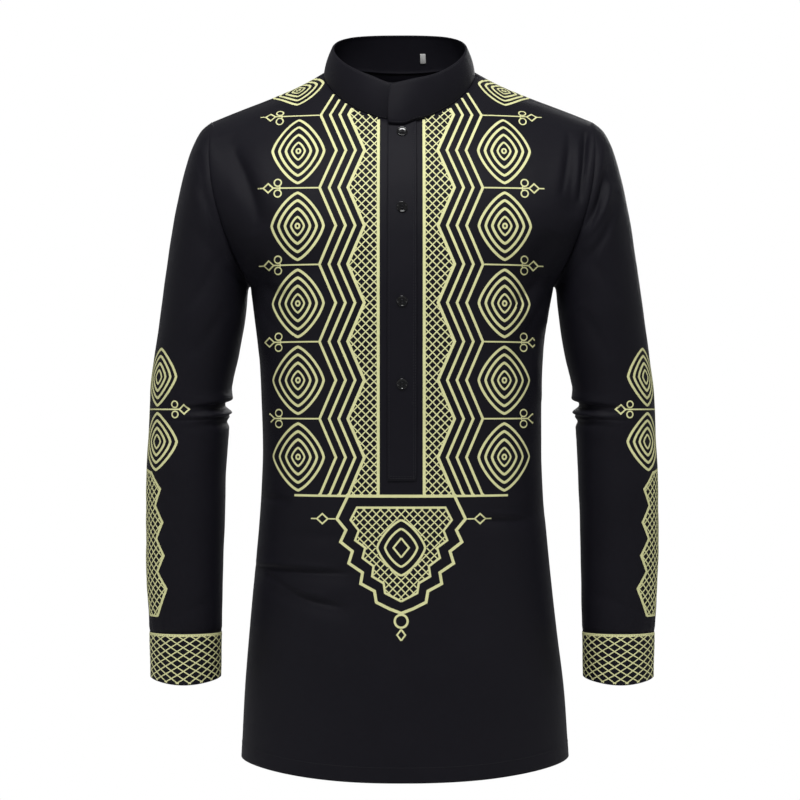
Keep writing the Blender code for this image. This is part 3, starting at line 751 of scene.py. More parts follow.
class Recipe:
    """A material under construction."""

    def __init__(self, name: str) -> None:
        """Starts an empty material.

        Args:
            name: The material's name.
        """
        self.material = bpy.data.materials.new(name)
        self.material.use_nodes = True
        self.nodes = self.material.node_tree.nodes
        self.links = self.material.node_tree.links
        self.nodes.clear()

    def node(self, kind: str, settings: dict[str, object], inputs: dict[object, object]) -> bpy.types.Node:
        """A node with its settings, then the values or links of its sockets.

        Args:
            kind: The node's type.
            settings: Its own settings.
            inputs: A value or a link for each named or numbered socket.

        Returns:
            The node.
        """
        node = self.nodes.new(kind)
        for key, setting in settings.items():
            setattr(node, key, setting)
        for key, given in inputs.items():
            socket = node.inputs[key]
            if isinstance(given, Value):
                self.links.new(given.socket, socket)
            elif isinstance(given, bpy.types.NodeSocket):
                self.links.new(given, socket)
            else:
                socket.default_value = given
        return node

    def value(self, kind: str, settings: dict[str, object], inputs: dict[object, object],
              output: object = 0) -> Value:
        """One output of a new node, as a value."""
        return Value(self, self.node(kind, settings, inputs).outputs[output])

    def noise(self, vector: Value, scale: float, detail: float = 3.0, rough: float = 0.5) -> Value:
        """Noise from 0 to 1."""
        return self.value("ShaderNodeTexNoise", {}, {"Vector": vector, "Scale": scale, "Detail": detail,
                                                     "Roughness": rough})

    def bump(self, strength: float, distance: float, height: Value) -> Value:
        """A normal that stands up where the height does."""
        inputs = {"Strength": strength, "Distance": distance, "Height": height}
        return self.value("ShaderNodeBump", {}, inputs)

    def blend_colours(self, share: object, first: Sequence[float], second: Sequence[float]) -> Value:
        """A mix of two colours."""
        inputs = {0: share, 6: (*first, 1.0), 7: (*second, 1.0)}
        return self.value("ShaderNodeMix", {"data_type": "RGBA", "clamp_factor": True}, inputs, 2)

    def object_place(self) -> Value:
        """The point in the piece's own frame."""
        return self.value("ShaderNodeTexCoord", {}, {}, "Object")

    def cloth_place(self) -> Value:
        """The point on the cloth, in metres across and down it."""
        return self.value("ShaderNodeUVMap", {"uv_map": "cloth"}, {})

    def finish(self, **inputs: object) -> bpy.types.Material:
        """Closes the recipe with a Principled shader whose sockets are named with underscores."""
        named = {key.replace("_", " "): value for key, value in inputs.items()}
        shader = self.node("ShaderNodeBsdfPrincipled", {}, named)
        self.node("ShaderNodeOutputMaterial", {}, {"Surface": shader.outputs[0]})
        return self.material


@dataclass(frozen=True)
class WovenCloth:
    """Smooth black shirting with a fine plain weave and a slight sheen."""

    name: str = "black_shirting"
    dark: tuple[float, float, float] = (0.0040, 0.0037, 0.0062)
    light: tuple[float, float, float] = (0.0070, 0.0065, 0.0102)
    pitch: float = 0.42 * MM
    roughness: float = 0.52

    def make(self) -> bpy.types.Material:
        """The finish as a material."""
        recipe = Recipe(self.name)
        place, cloth = recipe.object_place(), recipe.cloth_place()
        across, down = cloth.part("X"), cloth.part("Y")
        turn = math.pi / self.pitch
        warp = (across * (2 * turn) + math.pi / 2).sine()
        weft = (down * (2 * turn) + math.pi / 2).sine()
        over = (across * turn).sine() * (down * turn).sine() * 0.5 + 0.5
        weave = over * warp + (1 - over) * weft
        threads = recipe.value("ShaderNodeMapping", {}, {"Vector": cloth, "Scale": (2200.0, 130.0, 1.0)})
        slub = recipe.noise(threads, 1.0, 2.0)
        cloud = recipe.noise(place, 14.0, 4.0, 0.55)
        crumple = recipe.noise(place, 46.0, 4.0, 0.5)
        share = (cloud * 0.75 + slub * 0.45 - 0.12).clamped()
        colour = recipe.blend_colours(share, self.dark, self.light)
        rough = (cloud * 0.10 + slub * 0.06 + (self.roughness - 0.08)).clamped(0.2, 0.95)
        height = weave * 0.16 + slub * 0.12 + crumple * 1.5
        bump = recipe.bump(0.55, 0.35 * MM, height)
        return recipe.finish(Base_Color=colour, Roughness=rough, Normal=bump, Specular_IOR_Level=0.10,
                             Sheen_Weight=0.02, Sheen_Roughness=0.40, Sheen_Tint=(0.80, 0.83, 1.0, 1.0))


@dataclass(frozen=True)
class PrintInk:
    """Matt yellow-green ink, a little broken by the weave beneath it."""

    name: str = "line_print_ink"
    dark: tuple[float, float, float] = (0.53, 0.530, 0.262)
    light: tuple[float, float, float] = (0.72, 0.720, 0.380)

    def make(self) -> bpy.types.Material:
        """The finish as a material."""
        recipe = Recipe(self.name)
        place = recipe.object_place()
        grain = recipe.noise(place, 950.0, 3.0, 0.6)
        patch = recipe.noise(place, 60.0, 3.0, 0.5)
        colour = recipe.blend_colours((grain * 0.8 + patch * 0.7 - 0.25).clamped(), self.dark, self.light)
        bump = recipe.bump(0.35, 0.08 * MM, grain)
        return recipe.finish(Base_Color=colour, Roughness=(patch * 0.16 + 0.62).clamped(), Normal=bump,
                             Specular_IOR_Level=0.25)


@dataclass(frozen=True)
class Thread:
    """Twisted polyester sewing thread."""

    name: str
    dark: tuple[float, float, float]
    light: tuple[float, float, float]

    def make(self) -> bpy.types.Material:
        """The finish as a material."""
        recipe = Recipe(self.name)
        place = recipe.object_place()
        twist = recipe.noise(place, 2600.0, 2.0)
        bump = recipe.bump(0.5, 0.05 * MM, twist)
        return recipe.finish(Base_Color=recipe.blend_colours(twist, self.dark, self.light), Normal=bump,
                             Roughness=(twist * 0.2 + 0.45).clamped(), Specular_IOR_Level=0.22)


@dataclass(frozen=True)
class Resin:
    """Glossy moulded resin with a faint cloud in it."""

    name: str = "black_resin_gloss"

    def make(self) -> bpy.types.Material:
        """The finish as a material."""
        recipe = Recipe(self.name)
        place = recipe.object_place()
        cloud = recipe.noise(place, 320.0, 3.0, 0.6)
        polish = recipe.noise(place, 1400.0, 2.0)
        colour = recipe.blend_colours(cloud, (0.0008, 0.0008, 0.0012), (0.0030, 0.0030, 0.0038))
        bump = recipe.bump(0.05, 0.01 * MM, polish)
        return recipe.finish(Base_Color=colour, Roughness=(polish * 0.06 + 0.11).clamped(), Normal=bump,
                             Specular_IOR_Level=0.46)


@dataclass(frozen=True)
class WovenTape:
    """Blank grey tape with fine ribs."""

    name: str = "grey_woven_tape"

    def make(self) -> bpy.types.Material:
        """The finish as a material."""
        recipe = Recipe(self.name)
        cloth, place = recipe.cloth_place(), recipe.object_place()
        ribs = (cloth.part("Y") * (2 * math.pi / (0.5 * MM))).sine() * 0.5 + 0.5
        grain = recipe.noise(place, 900.0, 2.0)
        share = (ribs * 0.4 + grain * 0.6).clamped()
        colour = recipe.blend_colours(share, (0.30, 0.30, 0.30), (0.50, 0.50, 0.49))
        bump = recipe.bump(0.5, 0.1 * MM, ribs)
        return recipe.finish(Base_Color=colour, Roughness=(grain * 0.2 + 0.65).clamped(), Normal=bump)


@dataclass(frozen=True)
class Paper:
    """The studio's pale paper floor."""

    name: str = "pale_studio_paper"

    def make(self) -> bpy.types.Material:
        """The finish as a material."""
        recipe = Recipe(self.name)
        grain = recipe.noise(recipe.object_place(), 40.0, 2.0)
        colour = recipe.blend_colours(grain, (0.90, 0.90, 0.90), (0.92, 0.92, 0.92))
        return recipe.finish(Base_Color=colour, Roughness=0.9, Specular_IOR_Level=0.1)


@dataclass(frozen=True)
class Finishes:
    """All the shirt's materials."""

    cloth: bpy.types.Material
    ink: bpy.types.Material
    thread: bpy.types.Material
    resin: bpy.types.Material
    tape: bpy.types.Material

    @classmethod
    def make(cls) -> "Finishes":
        """Makes each material once.

        Returns:
            The materials.
        """
        return cls(
            cloth=WovenCloth().make(),
            ink=PrintInk().make(),
            thread=Thread("black_thread", (0.007, 0.007, 0.009), (0.016, 0.016, 0.020)).make(),
            resin=Resin().make(),
            tape=WovenTape().make(),
        )


def hand_over(piece: bpy.types.Object, material: bpy.types.Material, slot: str, *nodes: str) -> None:
    """Dresses a piece, puts it on the shirt's body and hides the solids that it replaces.

    Args:
        piece: The finished piece.
        material: Its material.
        slot: A material slot's name; not used.
        nodes: The solids that it replaces.
    """
    piece.data.materials.clear()
    piece.data.materials.append(material)
    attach(piece, "root")
    if nodes:
        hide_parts(*nodes)
    LOG.info("%s: %d faces", piece.name, len(piece.data.polygons))


def primitive(add: Callable[..., object], **sizes: object) -> bpy.types.Object:
    """A primitive added on its own, with its place in its mesh.

    Args:
        add: The Blender operator that adds it.
        sizes: The operator's own values.

    Returns:
        The new object.
    """
    bpy.ops.object.select_all(action="DESELECT")
    add(**sizes)
    bpy.ops.object.transform_apply(location=True, rotation=True, scale=True)
    return bpy.context.object


@dataclass
class Part:
    """A part of the shirt, finished from one set of materials."""

    finishes: Finishes


@dataclass
class ClothPart(Part):
    """A part cut from cloth, with its outer side once it is built."""

    surface: Optional[Surface] = field(default=None, repr=False, kw_only=True)


@dataclass
class GatheredPart(Part):
    """A part gathered from many small ones that are closed as one piece."""

    points: list[Points] = field(default_factory=list, repr=False, kw_only=True)
    faces: list[tuple[int, ...]] = field(default_factory=list, repr=False, kw_only=True)
    count: int = field(default=0, kw_only=True)

    def add(self, points: Points, faces: Iterable[Sequence[int]]) -> None:
        """Adds a small part, whose faces count from its own first point.

        Args:
            points: The small part's points.
            faces: Its faces.
        """
        self.faces += [tuple(i + self.count for i in face) for face in faces]
        self.points.append(points)
        self.count += len(points)

    def gather(self, name: str) -> bpy.types.Object:
        """All that was added, as one object, to start afresh.

        Args:
            name: The object's name.

        Returns:
            The object.
        """
        data = bpy.data.meshes.new(name)
        data.from_pydata(np.concatenate(self.points).tolist(), [], self.faces)
        piece = in_scene(name, data)
        self.points, self.faces, self.count = [], [], 0
        return piece


@dataclass
class BodyPanel(ClothPart):
    """The front or back of the body, cut at the shoulders, armholes, sides and hem."""

    panel: str
    wall: float = 1.0 * MM
    seam_gap: float = 0.06 * MM
    valley: float = 0.32 * MM
    valley_width: float = 2.0 * MM
    unevenness: float = 0.30 * MM
    hem_step: float = 0.24 * MM
    hem_groove: float = 0.10 * MM
    armhole_pucker: float = 0.34 * MM
    side_pucker: float = 0.20 * MM
    pucker_fade: float = 11.0 * MM
    smoothings: int = 60
    fine_row: float = 1.9 * MM
    plain_row: float = 4.5 * MM
    slot_half_width: float = 13.0 * MM
    slot_end: float = -0.4440
    hem_depth: float = 18.0 * MM
    columns: int = 58
    flat: tuple[float, float] = (0.56, 0.80)
    area: float = 0.36
    slot_row: int = 0

    def heights(self) -> Points:
        """Heights of the rows below the armpit, closer where the waist creases lie.

        Returns:
            The heights, falling.
        """
        creased = ((-0.605, -0.535), (-0.504, -0.462)) if self.panel == "front" else ((-0.465, -0.385),)
        levels = [FORM.armpit_height]
        while levels[-1] > FORM.hem_height + self.fine_row:
            at_hem = levels[-1] < FORM.hem_height + 0.024
            fine = at_hem or any(low < levels[-1] < high for low, high in creased)
            levels.append(levels[-1] - (self.fine_row if fine else self.plain_row))
        levels[-1] = FORM.hem_height
        found = np.array(levels)
        found[np.argmin(np.abs(found - self.slot_end))] = self.slot_end
        return found

    def rows(self) -> list[float]:
        """The rows from the neckline to the hem.

        Returns:
            The rows' numbers.
        """
        upper = [*np.linspace(0, 1, 15)[:-1], *np.linspace(1, 2, 65)[:-1]]
        levels = self.heights()
        self.slot_row = len(upper) + int(np.argmin(np.abs(levels - self.slot_end)))
        return upper + [FORM.side_row(level) for level in levels]

    def lengths(self, whole: float) -> Points:
        """Where the columns lie on a row, from the middle to the seam.

        Args:
            whole: The row's whole length.

        Returns:
            The columns' distances from the middle.
        """
        start = self.slot_half_width if self.panel == "front" else 0.004
        near = whole - np.array([4.0, 2.2, 1.0, 0.0]) * MM
        share = np.linspace(0, 1, self.columns)
        share = share * (1.38 - 0.38 * share)
        return np.concatenate([[0.0], start + share * (whole - 6.5 * MM - start), near])

    def form(self) -> tuple[Points, Points, Points]:
        """The panel's own points, its rows' numbers and each point's distance from the nearer side seam.

        Returns:
            All three.
        """
        rows, grid, away = self.rows(), [], []
        for row in rows:
            right, right_away = FORM.along_row(row, self.panel, Side.RIGHT, self.lengths)
            left, left_away = FORM.along_row(row, self.panel, Side.LEFT, self.lengths)
            grid.append(np.concatenate([right[::-1], left[1:]]))
            away.append(np.concatenate([right_away[::-1], left_away[1:]]))
        grid, away = np.array(grid), np.array(away)
        soft = grid.copy()
        near_tip = mound(np.array(rows) - 1.15, 0.5)[:, None, None]
        share = near_tip * ease((away - 2.0 * MM) / 0.030)[..., None]
        for _ in range(self.smoothings):
            moved = soft.copy()
            moved[1:-1] = (soft[:-2] + 2 * soft[1:-1] + soft[2:]) / 4
            soft += (moved - soft) * share
        return soft, np.array(rows), away

    def puckers(self, rows: Points, away: Points, down: Points) -> Points:
        """Small puckers that run into the armhole and side seams.

        Args:
            rows: The rows' numbers.
            away: Each point's distance from the side seam.
            down: Its length from the top.

        Returns:
            One height for each point.
        """
        armhole = ease((rows - 0.95) / 0.1) * (1 - ease((rows - 2.0) / 0.3))
        side = ease((rows - 2.0) / 0.4)
        wave = 0.5 * np.sin(down * (2 * math.pi / FORM.pucker_pitch) + 2.2 * np.sin(down * 31.0))
        deep = (self.armhole_pucker * armhole + self.side_pucker * side)[:, None] * wave
        return deep * np.exp(-away / self.pucker_fade)

    def build(self) -> None:
        """Builds and dresses the panel."""
        grid, rows, away = self.form()
        outward = grid - SHIRT_MIDDLE
        normals = grid_normals(grid, outward)
        across, down = run_lengths(grid, 1), run_lengths(grid, 0)
        heights = fold_heights(self.panel, grid, normals, FOLDS) * ease(away / FORM.fold_fade)
        heights += fold_heights(self.panel, grid, normals, FINE_FOLDS) * ease(away / FORM.fine_fade)
        heights += soft_waves(grid, self.unevenness) * ease(away / FORM.uneven_fade)
        heights += self.puckers(rows, away, down)
        heights -= self.valley * mound(away, self.valley_width)
        above_hem = down[-1:] - down - self.hem_depth
        heights += self.hem_step * (1 - ease((above_hem + 0.6 * MM) / (1.6 * MM)))
        heights -= self.hem_groove * mound(above_hem + 2.2 * MM, 1.5 * MM)
        outer = grid + normals * heights[..., None]
        way = grid_normals(outer, outward)
        self.surface = Surface(outer.copy(), way)
        for edge, beside in ((0, 1), (-1, -2)):
            inward = outer[:, beside] - outer[:, edge]
            outer[:, edge] += inward / np.linalg.norm(inward, axis=1, keepdims=True) * self.seam_gap / 2
        middle = grid.shape[1] // 2
        absent = None
        if self.panel == "front":
            def absent(row: int, column: int) -> bool:
                """Whether a cell lies in the placket's slit."""
                return row < self.slot_row and column in (middle - 1, middle)
        runs = (across - across[:, middle:middle + 1], down)
        piece = wall_object(self.panel + "_panel", outer, outer - way * self.wall, runs, absent=absent)
        hand_over(piece, self.finishes.cloth, "black_cloth", self.panel)


@dataclass
class Sleeve(ClothPart):
    """A sleeve, set in at the armhole and gathered a little into its cuff."""

    side: Side
    wall: float = 1.0 * MM
    outward_shift: float = 0.06 * MM
    valley: float = 0.32 * MM
    cuff_valley: float = 0.70 * MM
    valley_width: float = 2.2 * MM
    unevenness: float = 0.42 * MM
    pucker: float = 0.24 * MM
    pucker_fade: float = 13.0 * MM
    gathering: float = 0.42 * MM
    gather_fade: float = 12.0 * MM
    gathers: int = 23
    mean_radius: float = 64.0 * MM
    columns: int = 112
    flat: tuple[float, float] = (0.37, 0.59)
    area: float = 0.156
    stations: Points = field(default_factory=lambda: np.zeros(0), repr=False)

    def station_list(self) -> Points:
        """The rings from the armhole to the cuff, closer at the elbow.

        Returns:
            The rings' numbers.
        """
        wanted = [0.0]
        while wanted[-1] < RINGS[-1].at - 0.01:
            at = wanted[-1]
            step = 1.2 * MM if 3.04 < at < 3.40 else 3.6 * MM
            drop = float(read(RINGS, "at", "outer_z", at) - read(RINGS, "at", "outer_z", at + 0.05)) / 0.05
            wanted.append(min(at + (step / max(drop, 0.02) if at > 1.6 else 0.035), RINGS[-1].at))
        if RINGS[-1].at - wanted[-2] < 0.02:
            wanted.pop(-2)
        return np.array(wanted)

    def form(self) -> Points:
        """The sleeve's own points, its columns running once round from the outermost one."""
        turns = full_turn(self.columns)
        rings = np.array([FORM.sleeve_ring(at, turns) for at in self.stations])
        return rings * np.array([self.side.value, 1, 1])

    def elbow(self, grid: Points) -> Points:
        """The creases round the bend of the elbow, and finer ones beside them.

        Args:
            grid: The sleeve's points.

        Returns:
            One height for each point.
        """
        turns = full_turn(self.columns)
        slant = 4.0 * MM * np.sin(turns + 0.6)
        total = np.zeros(grid.shape[:2])
        for crease in ELBOW_CREASES:
            inward = ease((2 * crease.reach - 1 - np.cos(turns)) / (2 * crease.reach))
            total += crease.depth * inward * mound(grid[..., 2] + slant - crease.height, crease.half_width)
        wrinkle = 0.22 * MM * np.sin(grid[..., 2] * 620.0 + 3.0 * np.sin(turns * 3))
        wrinkle = wrinkle * mound(grid[..., 2] + 0.373, 0.034)
        return total + wrinkle * ease((0.2 - np.cos(turns)) / 1.2)

    def build(self) -> None:
        """Builds and dresses the sleeve."""
        name = "sleeve_" + self.side.word
        self.stations = self.station_list()
        grid = self.form()
        outward = grid - grid.mean(axis=1, keepdims=True)
        normals = grid_normals(grid, outward, closed=True)
        turns = full_turn(self.columns)
        from_armhole = np.linalg.norm(grid - grid[0], axis=-1)
        from_cuff = np.linalg.norm(grid - grid[-1], axis=-1)
        heights = fold_heights(name, grid, normals, FOLDS) * ease(from_armhole / FORM.fold_fade)
        heights += self.elbow(grid)
        heights += fold_heights(name, grid, normals, FINE_FOLDS) * ease(from_armhole / FORM.fine_fade)
        clear_of_ends = ease(from_armhole / FORM.uneven_fade) * ease(from_cuff / FORM.uneven_fade)
        heights += soft_waves(grid, self.unevenness) * clear_of_ends
        ring_run = np.cumsum(np.linalg.norm(np.diff(grid[0], axis=0, append=grid[0][:1]), axis=1))
        ripple = np.sin(ring_run * (2 * math.pi / FORM.pucker_pitch) + 2.0 * np.sin(turns * 3))
        heights += self.pucker * ripple[None, :] * np.exp(-from_armhole / self.pucker_fade)
        gather = np.sin(turns * self.gathers + 1.7 * np.sin(turns * 4))
        gather *= 0.6 + 0.4 * np.sin(turns * 2 + 0.5)
        heights += self.gathering * gather[None, :] * np.exp(-from_cuff / self.gather_fade)
        heights -= self.valley * mound(from_armhole, self.valley_width)
        heights -= self.cuff_valley * mound(from_cuff, self.valley_width)
        outer = grid + normals * heights[..., None] + np.array([self.outward_shift * self.side.value, 0, 0])
        way = grid_normals(outer, outward, closed=True)
        self.surface = Surface(outer, way, closed=True)
        runs = (np.broadcast_to(turns * self.mean_radius, grid.shape[:2]), run_lengths(grid, 0))
        piece = wall_object(name + "_cloth", outer, outer - way * self.wall, runs, closed=True)
        hand_over(piece, self.finishes.cloth, "black_cloth", name)

    def station_at(self, height: float) -> float:
        """The grid row whose outermost point is at a height."""
        return float(np.interp(-height, -self.surface.points[:, 0, 2], np.arange(len(self.stations))))


@dataclass
class Cuff(ClothPart):
    """A closed double cuff whose mouth dips at the front."""

    sleeve: Sleeve
    wall: float = 1.8 * MM
    gap: float = 0.38 * MM
    mean_radius: float = 39.0 * MM
    height: float = 51.2 * MM
    front_drop: float = 6.6 * MM
    taper: float = 1.0 * MM
    rows: int = 26
    flat: tuple[float, float] = (0.244, 0.056)

    def build(self) -> None:
        """Builds and dresses the cuff."""
        turns, side = full_turn(self.sleeve.columns), self.sleeve.side
        ring = FORM.sleeve_ring(RINGS[-1].at, turns) * np.array([side.value, 1, 1])
        ring = ring + np.array([self.sleeve.outward_shift * side.value, 0, 0])
        centre = ring.mean(axis=0)
        out = (ring - centre) / np.linalg.norm(ring - centre, axis=1, keepdims=True)
        front = np.maximum(-out[:, 1], 0.0) ** 1.5
        grid = []
        inner_shares = np.linspace(0.07, 0.93, self.rows - 6)
        for share in np.concatenate([[0, 0.012, 0.03], inner_shares, [0.965, 0.988, 1.0]]):
            level = -self.gap - share * (self.height - self.gap + self.front_drop * front)
            wave = 0.25 * MM * np.sin(turns * 5 + 4.0 * share + 0.7) * math.sin(math.pi * share)
            reach = wave - self.taper * share - 0.45 * MM * mound(share, 0.03)
            grid.append(ring + out * reach[:, None] + level[:, None] * np.array([0, 0, 1]))
        outer = np.array(grid)
        way = grid_normals(outer, outer - outer.mean(axis=1, keepdims=True), closed=True)
        self.surface = Surface(outer, way, closed=True)
        runs = (np.broadcast_to(turns * self.mean_radius, outer.shape[:2]), run_lengths(outer, 0))
        name = "cuff_" + side.word
        piece = wall_object(name + "_cloth", outer, outer - way * self.wall, runs, closed=True)
        hand_over(piece, self.finishes.cloth, "cuff_cloth", name)


@dataclass
class CollarBand(ClothPart):
    """The standing collar band, its wearer's left end lying over its right end."""

    top_half_width: dict[str, float] = field(default_factory=lambda: {"right": 0.0785, "left": 0.0730})
    top_side: tuple[float, float] = (-0.0080, 0.0350)
    top_front: tuple[float, float] = (-0.0765, -0.0085)
    top_back: tuple[float, float] = (0.0470, 0.0565)
    bow: float = 1.5 * MM
    notch_depth: float = 4.5 * MM
    notch_at: float = -0.012
    notch_half_width: float = 0.016
    under_end: float = -10.0
    over_end: float = 370.0
    overlap: float = 18.0
    ramp: float = 28.0
    over_lift: float = 4.8 * MM
    over_drop: tuple[float, float, float] = (0.0, -0.0036, -0.0040)
    top_corner: float = 6.5 * MM
    foot_corner: float = 2.5 * MM
    foot_lift: float = 0.40 * MM
    height: float = 45.0 * MM
    edge_drop: float = 0.5 * MM
    edge_width: float = 1.3 * MM
    wall: float = 1.8 * MM
    flat: tuple[float, float] = (0.47, 0.046)
    stations: Points = field(default_factory=lambda: np.zeros(0), repr=False)

    def rings(self, degrees: float) -> tuple[Points, Points]:
        """The foot and top of the band at an angle from the centre front towards the wearer's right.

        Args:
            degrees: The angle.

        Returns:
            The foot's point and the top's.
        """
        angle = (180.0 - degrees) % 360.0 - 180.0
        panel = "front" if abs(angle) <= 90 else "back"
        turn = math.radians(abs(angle) if panel == "front" else 180 - abs(angle))
        side = Side.LEFT if angle >= 0 else Side.RIGHT
        foot = quarter(FORM.row_middle(0.0, panel), FORM.row_end(0.0, panel, side), math.pi / 2, 2.0, turn,
                       FORM.even_rise(0.0, panel))
        near, far = self.top_front, self.top_back
        if panel == "back":
            near, far = far, near
        rise = self.top_side[1] - near[1]
        end = (self.top_half_width[side.word], *self.top_side)
        top = quarter((0.0, *near), end, math.pi / 2, 2.0, turn, (far[1] - near[1]) / (2 * rise))
        mirror = np.array([math.copysign(1.0, angle), 1, 1])
        foot, top = foot * mirror + [0, 0, self.foot_lift], top * mirror
        if panel == "front":
            top[2] -= self.notch_depth * mound(top[0] - self.notch_at, self.notch_half_width)
        return foot, top

    def form(self, stations: Iterable[float], shares: Sequence[float]) -> Points:
        """The band's outer side at angles round the neck and shares of its height.

        Args:
            stations: The angles, in degrees.
            shares: The shares of the height.

        Returns:
            A grid of points, its rows rising.
        """
        grid = []
        for degrees in stations:
            foot, top = self.rings(degrees)
            out = np.array([foot[0], foot[1] + top[1], 0.0])
            out /= np.linalg.norm(out)
            over = float(ease((degrees - self.over_end + self.overlap + self.ramp) / self.ramp))
            hang = float(ease((degrees - self.over_end + self.overlap + 4) / 12.0))
            from_end = math.radians(min(degrees - self.under_end, self.over_end - degrees))
            from_end *= math.hypot(foot[0], foot[1])
            foot = foot + np.array(self.over_drop) * hang
            height = np.linalg.norm(top - foot)
            cuts = []
            for radius in (self.foot_corner, self.top_corner):
                cuts.append(radius - math.sqrt(max(radius**2 - max(radius - from_end, 0.0) ** 2, 0.0)))
            low, high = cuts[0] / height, 1 - cuts[1] / height
            column = []
            for share in shares:
                on = low + share * (high - low)
                swell = self.bow * 4 * on * (1 - on) + self.over_lift * over
                swell += 0.22 * MM * math.sin(degrees * 0.21 + 2.0) * math.sin(math.pi * on)
                column.append(foot + (top - foot) * on + out * swell)
            grid.append(column)
        return np.array(grid).transpose(1, 0, 2)

    def build(self) -> None:
        """Builds and dresses the band."""
        ends = np.array([0.0, 0.15, 0.4, 0.8, 1.4, 2.2, 3.2, 4.5, 6.0, 8.0])
        inner = np.linspace(self.under_end + ends[-1], self.over_end - ends[-1], 190)
        self.stations = np.concatenate([self.under_end + ends[:-1], inner, self.over_end - ends[-2::-1]])
        shares = np.concatenate([[0.0, 0.02, 0.05], np.linspace(0.1, 0.9, 15), [0.95, 0.98, 1.0]])
        outer = self.form(self.stations, shares)
        way = grid_normals(outer, outer * [1, 1, 0])
        edge = np.minimum(shares, 1 - shares)[:, None] * self.height
        outer = outer - way * (self.edge_drop * mound(edge, self.edge_width))[..., None]
        self.surface = Surface(outer, way)
        runs = (run_lengths(outer, 1), run_lengths(outer, 0))
        piece = wall_object("collar_band_cloth", outer, outer - way * self.wall, runs)
        hand_over(piece, self.finishes.cloth, "black_cloth", "collar_band")

    def column_at(self, degrees: object) -> Points:
        """The grid column at an angle round the neck."""
        return np.interp(degrees, self.stations, np.arange(len(self.stations)))


@dataclass
class SizeTab(Part):
    """The blank tab sewn inside the back of the band."""

    collar: CollarBand
    degrees: float = 198.0
    width_degrees: float = 4.4
    low: float = 0.26
    high: float = 0.52
    wall: float = 0.7 * MM
    flat: tuple[float, float] = (0.0100, 0.0125)
    area: float = 0.00010

    def build(self) -> None:
        """Builds and dresses the tab."""
        half = self.width_degrees / 2
        stations = np.linspace(self.degrees - half, self.degrees + half, 11)
        base = self.collar.form(stations, np.linspace(self.low, self.high, 15))
        way = grid_normals(base, base * [1, 1, 0])
        share = np.linspace(0, 1, 15)[:, None]
        lift = (0.25 + 0.55 * np.sin(math.pi * share) + 0.1 * np.sin(np.linspace(0, 6, 11))[None, :]) * MM
        outer = base - way * (2.0 * MM + lift)[..., None]
        runs = (run_lengths(outer, 1), run_lengths(outer, 0))
        piece = wall_object("neck_tab", outer, outer - way * self.wall, runs)
        hand_over(piece, self.finishes.tape, "grey_tape", "neck_label")


@dataclass
class Placket(ClothPart):
    """The two strips of the half placket. The upper one covers the slit and is sewn down on one side."""

    half_width: float = 15.5 * MM
    slot_half_width: float = 13.0 * MM
    slot_end: float = -0.4440
    end: float = -0.4485
    gap: float = 0.38 * MM
    top_row: float = 0.02
    lift: float = 1.9 * MM
    wall: float = 1.2 * MM

    def strip(self, offsets: Points, end: float) -> tuple[Points, Points, Points]:
        """A strip of the front form.

        Args:
            offsets: Distances from the centre line, rising from the wearer's right to left.
            end: The height of the strip's lower end.

        Returns:
            The points, their normals and their heights' lengths from the top.
        """
        upper = [*np.linspace(self.top_row, 1, 34), *np.linspace(1, 2, 40)[1:]]
        rows = upper + [FORM.side_row(z) for z in np.linspace(FORM.armpit_height, end, 66)[1:]]
        grid = []
        for row in rows:
            halves = []
            for side in Side:
                wanted = np.abs(offsets[np.sign(offsets) == side.value])
                points, _ = FORM.along_row(row, "front", side, lambda whole: wanted)
                halves.append(points)
            middle, _ = FORM.along_row(row, "front", Side.LEFT, lambda whole: np.array([0.0]))
            grid.append(np.concatenate([halves[0], middle, halves[1]]))
        grid = np.array(grid)
        return grid, grid_normals(grid, grid - SHIRT_MIDDLE), run_lengths(grid, 0)

    def build(self) -> None:
        """Builds and dresses both strips."""
        half = self.slot_half_width - self.gap
        offsets = np.array([-1.0, -0.93, -0.6, -0.3, 0.0, 0.3, 0.6, 0.93, 1.0]) * half
        grid, way, down = self.strip(offsets, self.slot_end + self.gap)
        runs = (np.broadcast_to(offsets, down.shape), down)
        under = wall_object("placket_under_strip", grid, grid - way * self.wall, runs)
        hand_over(under, self.finishes.cloth, "black_cloth", "placket_under")
        2 * half
        shares = np.array([-1.0, -0.975, -0.93, -0.86, -0.7, -0.45, -0.2, 0.0,
                           0.2, 0.45, 0.68, 0.76, 0.84, 0.92, 0.97, 1.0])
        grid, way, down = self.strip(shares * self.half_width, self.end)
        sewn = mound(shares - 0.93, 0.12) * 0.30 * MM
        free = mound(shares + 1.0, 0.05) * 0.25 * MM
        whole = down[:, :1] / down[:, :1].max()
        crown = 0.35 * MM * (1 - shares**2)[None, :] * (0.6 + 0.4 * np.cos(down[:, :1] * 2 * math.pi / 0.093))
        foot = 0.45 * MM * ease((whole - 0.985) / 0.015)
        lift = self.lift + crown - sewn[None, :] - free[None, :] - foot
        outer = grid + way * lift[..., None]
        way = grid_normals(outer, grid - SHIRT_MIDDLE)
        self.surface = Surface(outer, way)
        runs = (np.broadcast_to(shares * self.half_width, down.shape), down)
        upper = wall_object("placket_upper_strip", outer, outer - way * self.wall, runs)
        hand_over(upper, self.finishes.cloth, "black_cloth", "placket_upper")
        2 * self.half_width

    def place_at(self, x: object, height: object) -> tuple[Points, Points]:
        """The point and normal on the upper strip at a distance across and a height.

        Args:
            x: The distance across from the middle.
            height: The height.

        Returns:
            The points and their normals.
        """
        heights, sides = self.surface.points[:, 7, 2], self.surface.points[0, :, 0]
        rows = np.interp(-np.asarray(height, float), -heights, np.arange(len(heights)))
        return self.surface.at(rows, np.interp(x, sides, np.arange(len(sides))))


